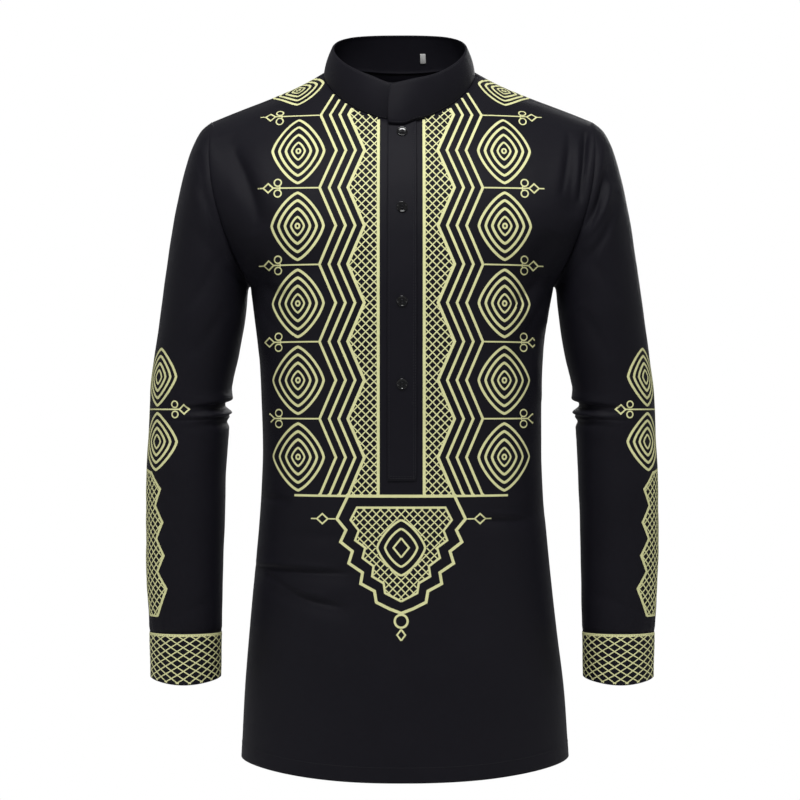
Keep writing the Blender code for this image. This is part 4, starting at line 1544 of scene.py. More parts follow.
@dataclass
class Buttons(Part):
    """Four turned resin buttons with a dished face and four holes, sewn on with black thread."""

    placket: Placket
    heights: tuple[float, ...] = (-0.0670, -0.1520, -0.2545, -0.3440)
    turns: tuple[float, ...] = (0.10, -0.16, 0.06, -0.05)
    radius: float = 6.0 * MM
    thick: float = 2.4 * MM
    rim: float = 0.9 * MM
    rim_slope: float = 0.55 * MM
    dish: float = 0.7 * MM
    well_rim: float = 2.0 * MM
    well: float = 0.12 * MM
    back_rim: float = 1.1 * MM
    bevel: float = 0.38 * MM
    hole_radius: float = 0.75 * MM
    hole_offset: float = 1.4 * MM
    seat: float = 0.30 * MM

    def turned_blank(self) -> bpy.types.Object:
        """One button, modelled lying flat about the origin with its face up.

        Returns:
            The button.
        """
        blank = primitive(bpy.ops.mesh.primitive_cylinder_add, vertices=56, radius=self.radius,
                          depth=self.thick)
        bpy.ops.object.mode_set(mode="EDIT")
        self.pick(blank, lambda face: face.normal.z > 0.9)
        bpy.ops.mesh.inset(thickness=self.rim)
        bpy.ops.mesh.inset(thickness=self.rim_slope)
        bpy.ops.transform.translate(value=(0, 0, -self.dish))
        bpy.ops.mesh.inset(thickness=self.well_rim)
        bpy.ops.transform.translate(value=(0, 0, -self.well))
        self.pick(blank, lambda face: face.normal.z < -0.9)
        bpy.ops.mesh.inset(thickness=self.back_rim)
        bpy.ops.object.mode_set(mode="OBJECT")
        bevel = blank.modifiers.new("soft_edges", "BEVEL")
        bevel.width, bevel.segments = self.bevel, 3
        bevel.limit_method, bevel.angle_limit = "ANGLE", math.radians(32)
        bpy.ops.object.modifier_apply(modifier=bevel.name)
        for sx in (-1, 1):
            for sy in (-1, 1):
                self.drill(blank, (sx * self.hole_offset, sy * self.hole_offset))
        bpy.ops.object.select_all(action="DESELECT")
        blank.select_set(True)
        bpy.context.view_layer.objects.active = blank
        bpy.ops.object.shade_smooth_by_angle(angle=math.radians(38))
        return blank

    @staticmethod
    def pick(piece: bpy.types.Object, wanted: Callable[[bmesh.types.BMFace], bool]) -> None:
        """Selects the faces that are wanted, in edit mode.

        Args:
            piece: The object.
            wanted: Tells whether a face is wanted.
        """
        bpy.ops.mesh.select_mode(type="FACE")
        bpy.ops.mesh.select_all(action="DESELECT")
        edit = bmesh.from_edit_mesh(piece.data)
        for face in edit.faces:
            face.select = wanted(face)
        edit.select_flush(True)
        bmesh.update_edit_mesh(piece.data)

    def drill(self, blank: bpy.types.Object, place: tuple[float, float]) -> None:
        """Cuts one thread hole with a flared mouth.

        Args:
            blank: The button.
            place: The hole's place across and up.
        """
        cutter = primitive(bpy.ops.mesh.primitive_cylinder_add, vertices=16, radius=self.hole_radius,
                           depth=self.thick * 3, location=(*place, 0))
        bpy.ops.object.select_all(action="DESELECT")
        blank.select_set(True)
        bpy.context.view_layer.objects.active = blank
        cut = blank.modifiers.new("hole", "BOOLEAN")
        cut.operation, cut.object, cut.solver = "DIFFERENCE", cutter, "EXACT"
        bpy.ops.object.modifier_apply(modifier=cut.name)
        bpy.data.objects.remove(cutter)

    def thread_loop(self) -> bpy.types.Object:
        """One loop of thread that passes down one hole and up the next.

        Returns:
            The loop.
        """
        loop = primitive(bpy.ops.mesh.primitive_torus_add, major_segments=28, minor_segments=8,
                         major_radius=self.hole_offset, minor_radius=0.30 * MM, rotation=(math.pi / 2, 0, 0))
        bpy.ops.object.mode_set(mode="EDIT")
        bpy.ops.mesh.select_all(action="SELECT")
        bpy.ops.transform.resize(value=(1.0, 1.3, 0.82))
        bpy.ops.transform.translate(value=(0, 0, self.thick * 0.30))
        bpy.ops.object.mode_set(mode="OBJECT")
        bpy.ops.object.shade_smooth()
        return loop

    def settle(self, model: bpy.types.Object, name: str, frame_at: tuple[Points, Points, Points, Points],
               shift: tuple[float, float], turn: float) -> bpy.types.Object:
        """A copy of a modelled shape, set on the strip with its place in its mesh.

        Args:
            model: The shape to copy.
            name: The copy's name.
            frame_at: Its place and its ways right, up and out.
            shift: A shift right and up.
            turn: A turn about its way out.

        Returns:
            The copy.
        """
        data = model.data.copy()
        data.name = name
        piece = in_scene(name, data)
        centre, right, up, out = frame_at
        cosine, sine = math.cos(turn), math.sin(turn)
        for vert in data.vertices:
            x, y, z = vert.co.x + shift[0], vert.co.y + shift[1], vert.co.z
            x, y = x * cosine - y * sine, x * sine + y * cosine
            vert.co = Vector(centre + right * x + up * y + out * z)
        data.update()
        return piece

    def build(self) -> None:
        """Models one button and one loop of thread, and sets copies of them on the placket."""
        blank, loop = self.turned_blank(), self.thread_loop()
        for number, (height, turn) in enumerate(zip(self.heights, self.turns), start=1):
            point, out = self.placket.place_at(np.array([0.0]), np.array([height]))
            point, out = point[0], out[0]
            right = np.array([1.0, 0.0, 0.0])
            right = right - out * np.dot(right, out)
            right /= np.linalg.norm(right)
            frame_at = (point + out * self.seat, right, np.cross(out, right), out)
            button = self.settle(blank, "button_%d_turned" % number, frame_at, (0.0, 0.0), turn)
            hand_over(button, self.finishes.resin, "dark_resin", "button_%d" % number)
            for row, side in enumerate((-1, 1), start=1):
                name = "button_%d_thread_%d" % (number, row)
                tie = self.settle(loop, name, frame_at, (0.0, side * self.hole_offset), turn)
                hand_over(tie, self.finishes.thread, "black_cloth")
        bpy.data.objects.remove(blank)
        bpy.data.objects.remove(loop)


@dataclass
class Stitching(GatheredPart):
    """Rows of small lockstitches sewn along the edges and seams."""

    length: float = 2.3 * MM
    pitch: float = 3.1 * MM
    radius: float = 0.24 * MM
    drawn_share: float = 0.22
    stand_off: float = 0.06 * MM
    hem_row: float = 16.5 * MM
    collar_rows: tuple[float, float] = (0.075, 0.925)
    cuff_rows: tuple[float, float] = (2.4, 3.6)
    model: Optional[tuple[Points, list[tuple[int, ...]]]] = field(default=None, repr=False)

    def one_stitch(self) -> tuple[Points, list[tuple[int, ...]]]:
        """One stitch along x, its ends drawn down into the cloth.

        Returns:
            Its points and faces.
        """
        stitch = primitive(bpy.ops.mesh.primitive_cylinder_add, vertices=6, radius=self.radius,
                           depth=self.length, rotation=(0, math.pi / 2, 0))
        draw = self.length * self.drawn_share
        bpy.ops.object.mode_set(mode="EDIT")
        for way in (-1, 1):
            Buttons.pick(stitch, lambda face: face.normal.x * way > 0.9)
            bpy.ops.transform.translate(value=(-way * draw, 0, 0))
            bpy.ops.mesh.extrude_region_move(TRANSFORM_OT_translate={"value": (way * draw, 0, -self.radius)})
            bpy.ops.transform.resize(value=(1, 0.55, 0.55))
        bpy.ops.object.mode_set(mode="OBJECT")
        points = np.array([vert.co[:] for vert in stitch.data.vertices])
        faces = [tuple(face.vertices) for face in stitch.data.polygons]
        bpy.data.objects.remove(stitch)
        return points, faces

    def sew(self, line: Points, normals: Points) -> None:
        """Adds a row of stitches along a line on a surface.

        Args:
            line: Close points along the surface.
            normals: The surface's normals there.
        """
        if self.model is None:
            self.model = self.one_stitch()
        points, faces = self.model
        run = run_lengths(line, 0)
        number = int(run[-1] / self.pitch)
        if number < 1:
            return
        at = (np.arange(number) + 0.5) * run[-1] / number
        for place in at:
            ends = [np.array([np.interp(place + d, run, line[:, i]) for i in range(3)]) for d in (-MM, MM)]
            centre = np.array([np.interp(place, run, line[:, i]) for i in range(3)])
            out = np.array([np.interp(place, run, normals[:, i]) for i in range(3)])
            along = ends[1] - ends[0]
            along /= np.linalg.norm(along)
            out = out - along * np.dot(out, along)
            out /= np.linalg.norm(out)
            beside = np.cross(out, along)
            outwards = (points[:, 2:] + self.stand_off) * out
            self.add(centre + points[:, :1] * along + points[:, 1:2] * beside + outwards, faces)

    def finish(self, name: str) -> None:
        """Closes the rows as one piece of thread.

        Args:
            name: The piece's name.
        """
        piece = self.gather(name)
        piece.data.polygons.foreach_set("use_smooth", np.ones(len(piece.data.polygons), dtype=bool))
        hand_over(piece, self.finishes.thread, "black_cloth")

    def body(self, front: BodyPanel, back: BodyPanel) -> None:
        """Sews the hem all round and a row beside each shoulder seam.

        Args:
            front: The front panel.
            back: The back panel.
        """
        for panel in (front, back):
            points, normals = panel.surface.points, panel.surface.normals
            down = run_lengths(points, 0)
            columns, target = np.arange(points.shape[1]), down[-1] - self.hem_row
            rows = np.array([np.interp(target[c], down[:, c], np.arange(len(points))) for c in columns])
            self.sew(*panel.surface.at(rows, columns))
            if panel is front:
                for column in (2, points.shape[1] - 3):
                    self.sew(points[0:15, column], normals[0:15, column])
        self.finish("body_stitching")

    def collar_and_cuffs(self, collar: CollarBand, cuffs: Iterable[Cuff]) -> None:
        """Sews the edges of the collar band and the cuffs.

        Args:
            collar: The collar band.
            cuffs: Both cuffs.
        """
        angles = np.linspace(collar.under_end + 2.5, collar.over_end - 2.5, 420)
        rows = collar.surface.points.shape[0] - 1
        for share in self.collar_rows:
            self.sew(*collar.surface.at(np.full(len(angles), share * rows), collar.column_at(angles)))
        self.finish("collar_stitching")
        for cuff in cuffs:
            grid = cuff.surface.points
            across = np.linspace(0, grid.shape[1], 4 * grid.shape[1])
            for row in (self.cuff_rows[0], grid.shape[0] - self.cuff_rows[1]):
                self.sew(*cuff.surface.at(np.full(len(across), row), across))
        self.finish("cuff_stitching")

    def placket_edges(self, placket: Placket) -> None:
        """Sews the placket's edges, its lower box, its buttonholes and a bar at its end.

        Args:
            placket: The placket.
        """
        long_rows = ((-14.2, -0.066, -0.4475), (12.2, -0.066, -0.4475), (14.2, -0.066, -0.4475))
        for x, top, low in long_rows:
            heights = np.linspace(top, low, 260)
            self.sew(*placket.place_at(np.full(260, x * MM), heights))
        for height in (-0.4445, -0.4468):
            across = np.linspace(-14.0 * MM, 14.0 * MM, 40)
            self.sew(*placket.place_at(across, np.full(40, height)))
        for height in (-0.3640, -0.3660):
            across = np.linspace(9.6 * MM, 13.0 * MM, 10)
            self.sew(*placket.place_at(across, np.full(10, height)))
        for height in Buttons.heights:
            for x in (-1.1 * MM, 1.1 * MM):
                levels = np.linspace(height + 9.0 * MM, height - 9.0 * MM, 24)
                self.sew(*placket.place_at(np.full(24, x), levels))
        self.finish("placket_stitching")


@dataclass
class ClothAhead:
    """The outside of the front, and of the back where it comes over the shoulder, for lines to lie on.

    Below a turning height a place is found straight from the front. Above it the cloth slopes back,
    so a place is found by its distance along the cloth.
    """

    panels: Sequence[BodyPanel]
    turn_height: float
    axis_depth: float = 20.0 * MM
    farthest_turn: float = math.radians(160)
    turns_tried: int = 160
    far: float = 0.5
    gap: float = 10.0 * MM
    least_facing: float = 0.08
    most_sideways: float = 0.90
    tree: Optional[BVHTree] = field(default=None, repr=False)
    quads: list[tuple[int, ...]] = field(default_factory=list, repr=False)
    normals: Points = field(default_factory=lambda: np.zeros((0, 3)), repr=False)
    paths: dict[float, tuple[Points, Points, Points]] = field(default_factory=dict, repr=False)

    def __post_init__(self) -> None:
        """Gathers the panels' surfaces."""
        start = 0
        for panel in self.panels:
            rows, columns = panel.surface.points.shape[:2]
            firsts = [start + r * columns + c for r in range(rows - 1) for c in range(columns - 1)]
            self.quads += [(first, first + 1, first + columns + 1, first + columns) for first in firsts]
            start += rows * columns
        corners = np.concatenate([panel.surface.points.reshape(-1, 3) for panel in self.panels])
        self.normals = np.concatenate([panel.surface.normals.reshape(-1, 3) for panel in self.panels])
        self.tree = BVHTree.FromPolygons([Vector(point) for point in corners], self.quads)

    def touch(self, start: Sequence[float], way: Sequence[float]) -> Optional[tuple[Points, Points]]:
        """The point and normal where a straight line first meets the cloth's outside, if it does so there.

        Args:
            start: Where the line starts.
            way: Its unit direction.

        Returns:
            The point and normal, or None.
        """
        hit, _, index, _ = self.tree.ray_cast(Vector(start), Vector(way))
        if hit is None:
            return None
        normal = self.normals[list(self.quads[index])].mean(axis=0)
        normal /= np.linalg.norm(normal)
        if normal @ np.array(way) > -self.least_facing or abs(normal[0]) > self.most_sideways:
            return None
        return np.array(hit), normal

    def path(self, x: float) -> tuple[Points, Points, Points]:
        """The cloth's path up and back from the turning height: its run, points and normals.

        Args:
            x: The place across.

        Returns:
            The length to each point of the path, the points and their normals.
        """
        if x not in self.paths:
            found = []
            for turn in np.linspace(0, self.farthest_turn, self.turns_tried):
                way = np.array([0.0, -math.cos(turn), math.sin(turn)])
                spot = self.touch(np.array([x, self.axis_depth, self.turn_height]) + way * self.far, -way)
                if spot is None and found:
                    continue
                if spot is None or (found and np.linalg.norm(spot[0] - found[-1][0]) > self.gap):
                    break
                found.append(spot)
            points, ways = (np.array([spot[k] for spot in found]).reshape(-1, 3) for k in (0, 1))
            steps = np.linalg.norm(np.diff(points, axis=0), axis=1)
            self.paths[x] = (np.concatenate([[0.0], np.cumsum(steps)])[:len(points)], points, ways)
        return self.paths[x]

    def at(self, x: float, v: float) -> Optional[tuple[Points, Points]]:
        """The point and normal of the cloth at a place across and a height, if there is cloth there.

        Args:
            x: The place across.
            v: The height, measured along the cloth above the turning height.

        Returns:
            The point and normal, or None.
        """
        if v <= self.turn_height:
            return self.touch((x, -self.far, v), (0.0, 1.0, 0.0))
        run, points, ways = self.path(x)
        rise = v - self.turn_height
        if len(run) < 2 or rise > run[-1]:
            return None
        point, way = (np.array([np.interp(rise, run, axis) for axis in part.T]) for part in (points, ways))
        return point, way / np.linalg.norm(way)


class PrintLine(NamedTuple):
    """A printed line as close places across and up, with its width and a little extra height."""

    places: Points
    width: float
    closed: bool = False
    extra: float = 0.0


class Oval(NamedTuple):
    """A pointed oval's half sizes, roundness (1 a diamond, 2 an ellipse), number of places and line width."""

    across: float
    down: float
    power: float
    number: int
    width: float

    def places(self, u: float, v: float) -> Points:
        """Places round the oval about a centre.

        Args:
            u: The centre's place across.
            v: Its height.

        Returns:
            The places.
        """
        turns = full_turn(self.number)
        across = np.sign(np.cos(turns)) * np.abs(np.cos(turns)) ** (2 / self.power)
        down = np.sign(np.sin(turns)) * np.abs(np.sin(turns)) ** (2 / self.power)
        return np.stack([u + self.across * across, v + self.down * down], axis=-1)


EYE = (Oval(28.5 * MM, 36.5 * MM, 1.35, 108, 2.9 * MM), Oval(21.0 * MM, 28.0 * MM, 1.35, 80, 2.9 * MM),
       Oval(13.8 * MM, 19.0 * MM, 1.35, 52, 2.9 * MM), Oval(7.2 * MM, 10.0 * MM, 1.35, 30, 2.2 * MM),
       Oval(2.2 * MM, 2.6 * MM, 2.0, 14, 2.0 * MM))
SLEEVE_EYE = (Oval(28.0 * MM, 31.5 * MM, 1.35, 84, 2.9 * MM), Oval(20.4 * MM, 23.4 * MM, 1.35, 64, 2.9 * MM),
              Oval(13.0 * MM, 15.2 * MM, 1.35, 44, 2.9 * MM), Oval(6.2 * MM, 7.6 * MM, 1.35, 28, 2.2 * MM))
HEART = (Oval(26.0 * MM, 30.0 * MM, 1.35, 60, 2.4 * MM), Oval(17.5 * MM, 20.5 * MM, 1.35, 60, 2.4 * MM))
HEART_CORE = Oval(8.5 * MM, 10.5 * MM, 1.0, 40, 2.0 * MM)
BUD = Oval(5.5 * MM, 5.0 * MM, 1.0, 16, 1.7 * MM)
PENDANT_BUD = Oval(6.0 * MM, 5.4 * MM, 1.0, 16, 1.7 * MM)
BERRY = Oval(3.9 * MM, 3.9 * MM, 2.0, 18, 1.5 * MM)
SLEEVE_BERRY = Oval(3.6 * MM, 3.6 * MM, 2.0, 18, 1.5 * MM)
TAIL_RING = Oval(7.0 * MM, 7.0 * MM, 2.0, 40, 2.4 * MM)
TAIL_DROP = Oval(4.5 * MM, 6.0 * MM, 1.0, 24, 1.8 * MM)
PENDANT_STEPS = ((0.0, 0.0), (58.0, 0.0), (70.0, -25.0), (60.0, -37.0), (66.0, -50.0), (53.0, -60.0),
                 (57.0, -73.0), (42.0, -83.0), (44.0, -95.0), (29.0, -103.0), (27.0, -115.0), (13.0, -122.0),
                 (0.0, -127.0))
PENDANT_INNER_STEPS = ((0.0, -12.5), (48.0, -12.5), (55.0, -26.0), (46.0, -37.5), (50.0, -48.0),
                       (39.0, -56.0), (42.0, -67.0), (30.0, -76.0), (31.5, -87.0), (19.0, -94.5),
                       (17.5, -105.0), (0.0, -114.0))


@dataclass
class HalfPrint:
    """The lines of one half of a design, drawn flat in places across from its middle and up."""

    width: float
    fine: float = 1.25 * MM
    pitch: float = 9.0 * MM
    step: float = 2.5 * MM
    probe: float = 0.4 * MM
    fewest_probes: int = 4
    cross_lift: float = 0.03 * MM
    lines: list[PrintLine] = field(default_factory=list)

    def stroke(self, corners: Sequence[tuple[float, float]], width: Optional[float] = None,
               extra: float = 0.0) -> None:
        """Adds a line through corners, with a place at each corner and close places between.

        Args:
            corners: The corners.
            width: The line's width, if it isn't the design's own.
            extra: A little extra height.
        """
        places = []
        for (u1, v1), (u2, v2) in zip(corners, corners[1:]):
            number = max(1, round(math.hypot(u2 - u1, v2 - v1) / self.step))
            places += [(u1 + (u2 - u1) * i / number, v1 + (v2 - v1) * i / number) for i in range(number)]
        self.lines.append(PrintLine(np.array(places + [corners[-1]]), width or self.width, False, extra))

    def ovals(self, u: float, v: float, *nest: Oval) -> None:
        """Adds pointed ovals about one centre."""
        self.lines += [PrintLine(oval.places(u, v), oval.width, True) for oval in nest]

    def half_oval(self, v: float, oval: Oval, extra: float = 0.0) -> None:
        """Adds the half of a pointed oval that lies on this side of the middle.

        Args:
            v: The centre's height.
            oval: The oval.
            extra: A little extra height.
        """
        places = oval.places(0.0, v)
        places = places[places[:, 0] > -1e-6]
        self.lines.append(PrintLine(places[np.argsort(places[:, 1])], oval.width, False, extra))

    def trellis(self, box: tuple[float, float, float, float],
                inside: Callable[[Points, Points], Points]) -> None:
        """Adds crossing slanted lines, kept where they lie inside a region.

        Args:
            box: The region's least and greatest place across and up.
            inside: Tells which places lie inside.
        """
        left, right, low, high = box
        reach = right - left
        u = np.linspace(left, right, max(8, int((right - left) / self.probe)))
        for way in (-1, 1):
            for start in np.arange(low - reach - self.pitch, high + reach + self.pitch, self.pitch):
                v = start + way * (u - left)
                kept = np.flatnonzero(inside(u, v) & (v > low) & (v < high))
                for group in np.split(kept, np.flatnonzero(np.diff(kept) > 1) + 1):
                    if len(group) > self.fewest_probes:
                        ends = [(u[group[0]], v[group[0]]), (u[group[-1]], v[group[-1]])]
                        self.stroke(ends, self.fine, self.cross_lift)


@dataclass
class LinePrint(GatheredPart):
    """The printed line work: trellis bands, stepped chevrons, nested lozenges and a stepped pendant."""

    middle: float = -1.0 * MM
    line: float = 3.2 * MM
    chevron: float = 2.9 * MM
    cross_lift: float = 0.02 * MM
    lift: float = 0.16 * MM
    sunk: float = 0.30 * MM
    inner: float = 25.0 * MM
    first_tooth: float = -0.046
    tooth: float = 0.084
    narrow: float = 15.0 * MM
    wide: float = 33.0 * MM
    top_end: float = -0.004
    low_end: float = -0.466
    eye_at: float = 0.1130
    shoulder_rise: float = 15.0 * MM
    shoulder_shift: float = 3.0 * MM
    sleeve_columns: int = 40
    sleeve_middle: float = -0.3720
    strip_top: float = -0.4430
    strip_end: float = -0.6030
    cuff_diamonds: int = 18
    cuff_depth: float = 6.5

    def ribbon(self, line: Points, normals: Points, width: float, closed: bool = False,
               lift: float = 0.0) -> None:
        """Adds a thin raised line along close points of a surface.

        Args:
            line: Points on the surface.
            normals: The surface's normals there.
            width: The line's width.
            closed: Whether its end meets its start.
            lift: A little extra height, where lines cross.
        """
        if len(line) < 2:
            return
        if closed:
            ways = np.roll(line, -1, axis=0) - line
            before = np.roll(ways, 1, axis=0)
        else:
            ways = np.diff(line, axis=0)
            before, ways = np.concatenate([ways[:1], ways]), np.concatenate([ways, ways[-1:]])
        before = before / (np.linalg.norm(before, axis=1, keepdims=True) + TINY)
        ways = ways / (np.linalg.norm(ways, axis=1, keepdims=True) + TINY)
        along = before + ways
        size = np.linalg.norm(along, axis=1, keepdims=True)
        along = np.where(size > 0.2, along / (size + TINY), ways)
        stretch = 1 / np.maximum(size / 2, 0.55)
        beside = np.cross(normals, along)
        beside = beside / (np.linalg.norm(beside, axis=1, keepdims=True) + TINY) * stretch * width / 2
        high, low = normals * (self.lift + lift), normals * -self.sunk
        corners = (low - beside, high - beside, high + beside, low + beside)
        sections = np.stack([line + corner for corner in corners], axis=1)
        number, faces = len(line), []
        for i in range(number if closed else number - 1):
            a, b = 4 * i, 4 * ((i + 1) % number)
            faces += [(a + k, b + k, b + (k + 1) % 4, a + (k + 1) % 4) for k in range(4)]
        if not closed:
            faces += [(0, 1, 2, 3), tuple(4 * number - 1 - k for k in range(4))]
        self.add(sections.reshape(-1, 3), faces)

    def finish(self, name: str) -> None:
        """Closes the lines as one piece.

        Args:
            name: The piece's name.
        """
        piece = self.gather(name)
        edit = bmesh.new()
        edit.from_mesh(piece.data)
        bmesh.ops.recalc_face_normals(edit, faces=edit.faces[:])
        edit.to_mesh(piece.data)
        edit.free()
        hand_over(piece, self.finishes.ink, "line_print")

    def tooth_width(self, v: object) -> Points:
        """The width of the trellis band at a height."""
        phase = np.abs(((np.asarray(v, float) - self.first_tooth) / self.tooth + 0.5) % 1.0 - 0.5) * 2
        return self.wide + (self.narrow - self.wide) * phase

    def band_edge(self, offset: float, top: float) -> list[tuple[float, float]]:
        """The corners of a toothed line beside the band, at an offset from its edge.

        Args:
            offset: The offset from the edge.
            top: The line's upper end.

        Returns:
            The corners.
        """
        levels = [self.first_tooth - self.tooth * k / 2 for k in range(-2, 12)]
        corners = [top, *(level for level in levels if self.low_end <= level < top), self.low_end]
        return [(self.inner + float(self.tooth_width(v)) + offset, v) for v in corners]

    def front(self, panels: Sequence[BodyPanel]) -> None:
        """Prints the front of the body, and a little way over the shoulders.

        Args:
            panels: The front and back panels.
        """
        cloth = ClothAhead(panels, self.first_tooth)
        for side in Side:
            for line in self.front_half():
                stretches = [[]]
                for u, v in line.places:
                    spot = cloth.at(round(self.middle + side.value * u, 5), v)
                    if spot is None:
                        stretches.append([])
                    else:
                        stretches[-1].append(spot)
                closed = line.closed and len(stretches) == 1
                for stretch in stretches:
                    if len(stretch) > min(2, len(line.places) - 2):
                        points, ways = (np.array(part) for part in zip(*stretch))
                        self.ribbon(points, ways, line.width, closed, line.extra)
        self.finish("front_print")

    def front_half(self) -> list[PrintLine]:
        """The lines of one half of the front, as places from its middle line.

        Returns:
            The lines, in the order they are laid.
        """
        half, outer = HalfPrint(self.line), self.inner + self.wide
        half.stroke([(self.inner, -0.030), (self.inner, self.low_end)])
        half.stroke(self.band_edge(0.0, -0.012), extra=self.cross_lift)
        for offset in (10.0 * MM, 20.5 * MM, 31.0 * MM):
            half.stroke(self.band_edge(offset, self.top_end), self.chevron)

        def in_band(u: Points, v: Points) -> Points:
            """Whether a place lies in the trellis band."""
            return (u > self.inner + MM) & (u < self.inner + self.tooth_width(v) - MM)

        half.trellis((self.inner, outer, self.low_end, -0.020), in_band)
        shoulder = self.first_tooth + self.tooth / 2 + self.shoulder_rise
        half.ovals(self.eye_at + self.shoulder_shift, shoulder, *EYE)
        for k in range(5):
            tooth = self.first_tooth - self.tooth * k
            half.ovals(self.eye_at, tooth - self.tooth / 2, *EYE)
            half.stroke([(0.0905, tooth), (0.1400, tooth)], 1.6 * MM)
            half.ovals(0.1455, tooth, BUD)
            half.stroke([(0.1510, tooth), (0.1570, tooth)], 1.4 * MM)
            for rise in (-1, 1):
                half.ovals(0.1350, tooth + rise * 6.0 * MM, BERRY)
                half.stroke([(0.1320, tooth), (0.1332, tooth + rise * 2.6 * MM)], 1.3 * MM)
        tooth = self.first_tooth - self.tooth * 5
        half.stroke([(outer, tooth), (0.1170, tooth)], 2.4 * MM, self.cross_lift)
        self.pendant(half)
        return half.lines

    def pendant(self, half: HalfPrint) -> None:
        """Adds half of the stepped pendant below the placket, with its heart, side buds and tail.

        Args:
            half: The half of the front.
        """
        low = self.low_end
        heart, bud = low - 0.0560, low - 0.0250
        half.stroke([(u * MM, low + v * MM) for u, v in PENDANT_STEPS])
        inner = [(u * MM, low + v * MM) for u, v in PENDANT_INNER_STEPS]
        half.stroke(inner, 2.4 * MM)
        for oval in HEART:
            half.half_oval(heart, oval, self.cross_lift)
        half.half_oval(heart, HEART_CORE)
        half.stroke([(0.0720, bud), (0.0800, bud)], 1.4 * MM)
        half.ovals(0.0860, bud, PENDANT_BUD)
        half.stroke([(0.0920, bud), (0.0985, bud)], 1.4 * MM)
        edge_u, edge_v = np.array(inner[1:]).T

        def in_pendant(u: Points, v: Points) -> Points:
            """Whether a place lies in the pendant's trellis, clear of its heart."""
            clear = (np.abs(u) / 0.0275) ** 1.35 + (np.abs(v - heart) / 0.0315) ** 1.35 > 1
            return (u > -0.0005) & (u < np.interp(-v, -edge_v, edge_u) - MM) & (v < low - 0.0135) & clear

        half.trellis((0.0, 0.060, low - 0.1125, low - 0.0125), in_pendant)
        half.half_oval(-0.6015, TAIL_RING)
        half.half_oval(-0.6165, TAIL_DROP)

    def sleeve(self, sleeve: Sleeve) -> None:
        """Prints a sleeve, the same before and behind its outermost line.

        Args:
            sleeve: The sleeve.
        """
        for side in (-1, 1):
            for line in self.sleeve_half():
                rows, columns = [], []
                for arc, v in line.places:
                    row = sleeve.station_at(v)
                    run = run_lengths(sleeve.surface.points[int(row)][:self.sleeve_columns], 0)
                    columns.append(side * float(np.interp(max(arc, 0.0), run, np.arange(len(run)))))
                    rows.append(row)
                points, ways = sleeve.surface.at(rows, columns)
                self.ribbon(points, ways, line.width, line.closed, line.extra)
        self.finish("sleeve_print_" + sleeve.side.word)

    def sleeve_half(self) -> list[PrintLine]:
        """The lines of one half of a sleeve, as places round from its outermost line.

        Returns:
            The lines, in the order they are laid.
        """
        half, middle = HalfPrint(self.chevron), self.sleeve_middle
        for level in (middle + 0.0360, middle - 0.0360):
            half.ovals(39.0 * MM, level, *SLEEVE_EYE)
        half.stroke([(0.0050 + 0.0045 * (i % 2), middle + 0.0660 - 0.0110 * i) for i in range(13)], 2.2 * MM)
        half.stroke([(0.0095, middle), (0.0700, middle)], 1.6 * MM)
        half.ovals(0.0760, middle, BUD)
        for rise in (-1, 1):
            half.ovals(0.0655, middle + rise * 5.6 * MM, SLEEVE_BERRY)
        low = self.strip_end
        start = (0.0050, self.strip_top + 0.004)
        teeth = [self.strip_top - 0.018 - 0.0185 * i for i in range(8)]
        far = [start, (0.030, self.strip_top), (0.0460, teeth[0])]
        far += [(0.0370 if i % 2 else 0.0470, teeth[i]) for i in range(1, 8)] + [(0.0300, low)]
        half.stroke(far, extra=self.cross_lift)
        near = [start] + [(0.0135 if i % 2 else 0.0040, teeth[i]) for i in range(8)] + [(0.0120, low)]
        half.stroke(near, 2.2 * MM, self.cross_lift)
        half.stroke([near[-1], far[-1]], 2.2 * MM)
        (far_u, far_v), (near_u, near_v) = np.array(far).T, np.array(near).T

        def in_strip(u: Points, v: Points) -> Points:
            """Whether a place lies in the sleeve's trellis."""
            beyond_near = u > np.interp(-v, -near_v, near_u) + MM
            return beyond_near & (u < np.interp(-v, -far_v, far_u) - MM) & (v > low)

        half.trellis((0.0, 0.050, low, self.strip_top + 0.003), in_strip)
        return half.lines

    def cuff(self, cuff: Cuff) -> None:
        """Prints a cuff with a plain diamond trellis below a solid line.

        Args:
            cuff: The cuff.
        """
        grid = cuff.surface.points
        rows, columns = grid.shape[:2]
        down = run_lengths(grid, 0)
        line_row = np.interp(2.2 * MM, down[:, 0], np.arange(rows))
        across = np.arange(columns * 2) / 2.0
        points, ways = cuff.surface.at(np.full(len(across), line_row), across)
        self.ribbon(points, ways, self.chevron, True, HalfPrint.cross_lift)
        shares = np.linspace(0.045, 0.985, 48)
        lean = (shares - shares[0]) * self.cuff_depth
        for way in (-1, 1):
            for start in range(self.cuff_diamonds):
                places = columns * (start + way * lean) / self.cuff_diamonds
                near = np.round(places).astype(int) % columns
                levels = [np.interp(share * down[-1, column], down[:, column], np.arange(rows))
                          for share, column in zip(shares, near)]
                points, ways = cuff.surface.at(levels, places)
                self.ribbon(points, ways, HalfPrint.fine, False, self.cross_lift * (way + 1) / 2)
        self.finish("cuff_print_" + cuff.sleeve.side.word)


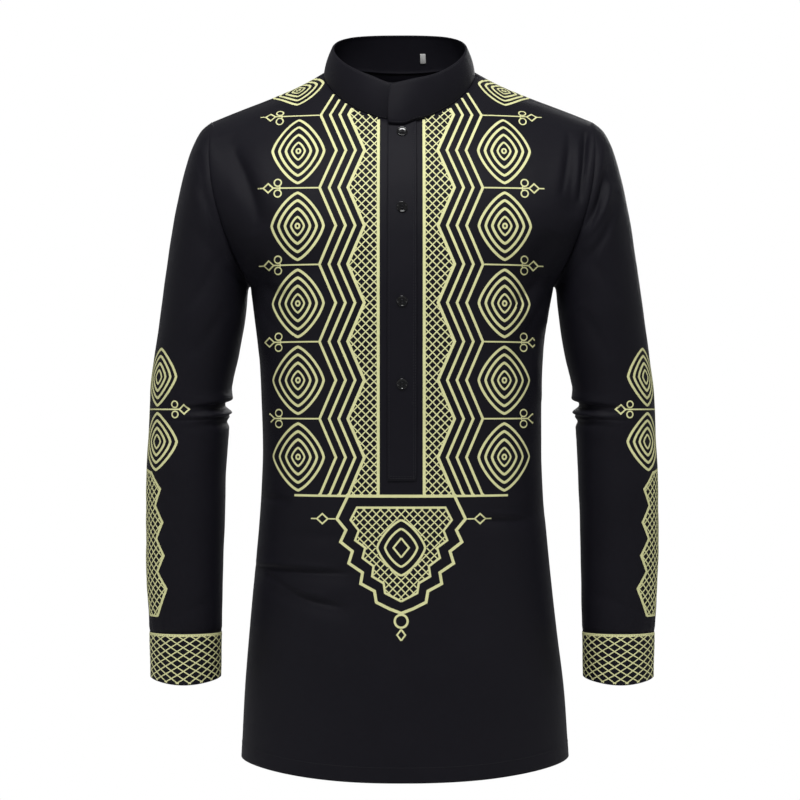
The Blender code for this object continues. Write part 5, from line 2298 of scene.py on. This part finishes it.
@dataclass
class Studio:
    """A plain white studio with a pale paper floor, soft light and a level camera."""

    eye: tuple[float, float, float] = (-0.0023, -3.0, -0.3616)
    field_width: float = 0.904
    floor_height: float = -0.95
    floor_middle: tuple[float, float] = (0.0, -0.30)
    floor_radius: float = 1.12
    key: float = 33.0
    fill: float = 9.0
    ambient: float = 0.29

    def camera(self) -> None:
        """Sets the camera square on to the front of the shirt."""
        data = bpy.data.cameras.new("view")
        data.sensor_width, data.sensor_fit = 36.0, "HORIZONTAL"
        data.lens = 36.0 * abs(self.eye[1]) / self.field_width
        camera = in_scene("view", data)
        camera.location, camera.rotation_euler = self.eye, (math.pi / 2, 0, 0)
        bpy.context.scene.camera = camera

    @staticmethod
    def lamp(name: str, place: Sequence[float], aim: Sequence[float], size: float, power: float) -> None:
        """A soft square lamp aimed at a point.

        Args:
            name: The lamp's name.
            place: Where it is.
            aim: The point it faces.
            size: Its width.
            power: Its power in watts.
        """
        data = bpy.data.lights.new(name, "AREA")
        data.shape, data.size, data.energy = "SQUARE", size, power
        lamp = in_scene(name, data)
        lamp.location = place
        lamp.rotation_euler = (Vector(aim) - Vector(place)).to_track_quat("-Z", "Y").to_euler()

    def lights(self) -> None:
        """Sets the soft lights, and surroundings that look white and shine softly."""
        self.lamp("key_above_front", (-0.06, -1.10, 1.26), (0.0, -0.08, -0.20), 0.6, self.key)
        self.lamp("fill_left", (-2.1, -1.7, 0.1), (0.0, 0.0, -0.40), 0.8, self.fill)
        self.lamp("fill_right", (2.2, -1.7, 0.1), (0.0, 0.0, -0.40), 0.8, self.fill * 0.9)
        self.lamp("fill_behind", (0.5, 2.2, 0.4), (0.0, 0.0, -0.35), 1.2, self.fill * 1.6)
        world = bpy.data.worlds.new("white_studio")
        world.use_nodes = True
        tree = world.node_tree
        tree.nodes.clear()
        seen, soft = (tree.nodes.new("ShaderNodeBackground") for _ in range(2))
        for ground, strength in ((seen, 1.0), (soft, self.ambient)):
            ground.inputs["Color"].default_value = (1.0, 1.0, 1.0, 1.0)
            ground.inputs["Strength"].default_value = strength
        path, mix = tree.nodes.new("ShaderNodeLightPath"), tree.nodes.new("ShaderNodeMixShader")
        tree.links.new(path.outputs["Is Camera Ray"], mix.inputs[0])
        tree.links.new(soft.outputs[0], mix.inputs[1])
        tree.links.new(seen.outputs[0], mix.inputs[2])
        tree.links.new(mix.outputs[0], tree.nodes.new("ShaderNodeOutputWorld").inputs["Surface"])
        bpy.context.scene.world = world

    def floor(self) -> None:
        """Lays the pale round floor below the shirt."""
        floor = primitive(bpy.ops.mesh.primitive_circle_add, vertices=160, radius=self.floor_radius,
                          fill_type="NGON", location=(*self.floor_middle, self.floor_height))
        floor.name = "paper_floor"
        floor.data.materials.append(Paper().make())

    def build(self) -> None:
        """Sets up the whole studio."""
        self.camera()
        self.lights()
        self.floor()
        bpy.context.scene.view_settings.view_transform = "Standard"


def main() -> None:
    """Builds the studio and every piece of the shirt, in the order a maker would."""
    Studio().build()
    finishes = Finishes.make()
    front, back = BodyPanel(finishes, "front"), BodyPanel(finishes, "back")
    front.build()
    back.build()
    sleeves = [Sleeve(finishes, side) for side in Side]
    cuffs = [Cuff(finishes, sleeve) for sleeve in sleeves]
    for sleeve, cuff in zip(sleeves, cuffs):
        sleeve.build()
        cuff.build()
    collar, placket = CollarBand(finishes), Placket(finishes)
    collar.build()
    SizeTab(finishes, collar).build()
    placket.build()
    Buttons(finishes, placket).build()
    stitching = Stitching(finishes)
    stitching.body(front, back)
    stitching.collar_and_cuffs(collar, cuffs)
    stitching.placket_edges(placket)
    prints = LinePrint(finishes)
    prints.front((front, back))
    for sleeve, cuff in zip(sleeves, cuffs):
        prints.sleeve(sleeve)
        prints.cuff(cuff)


if __name__ == "__main__":
    main()
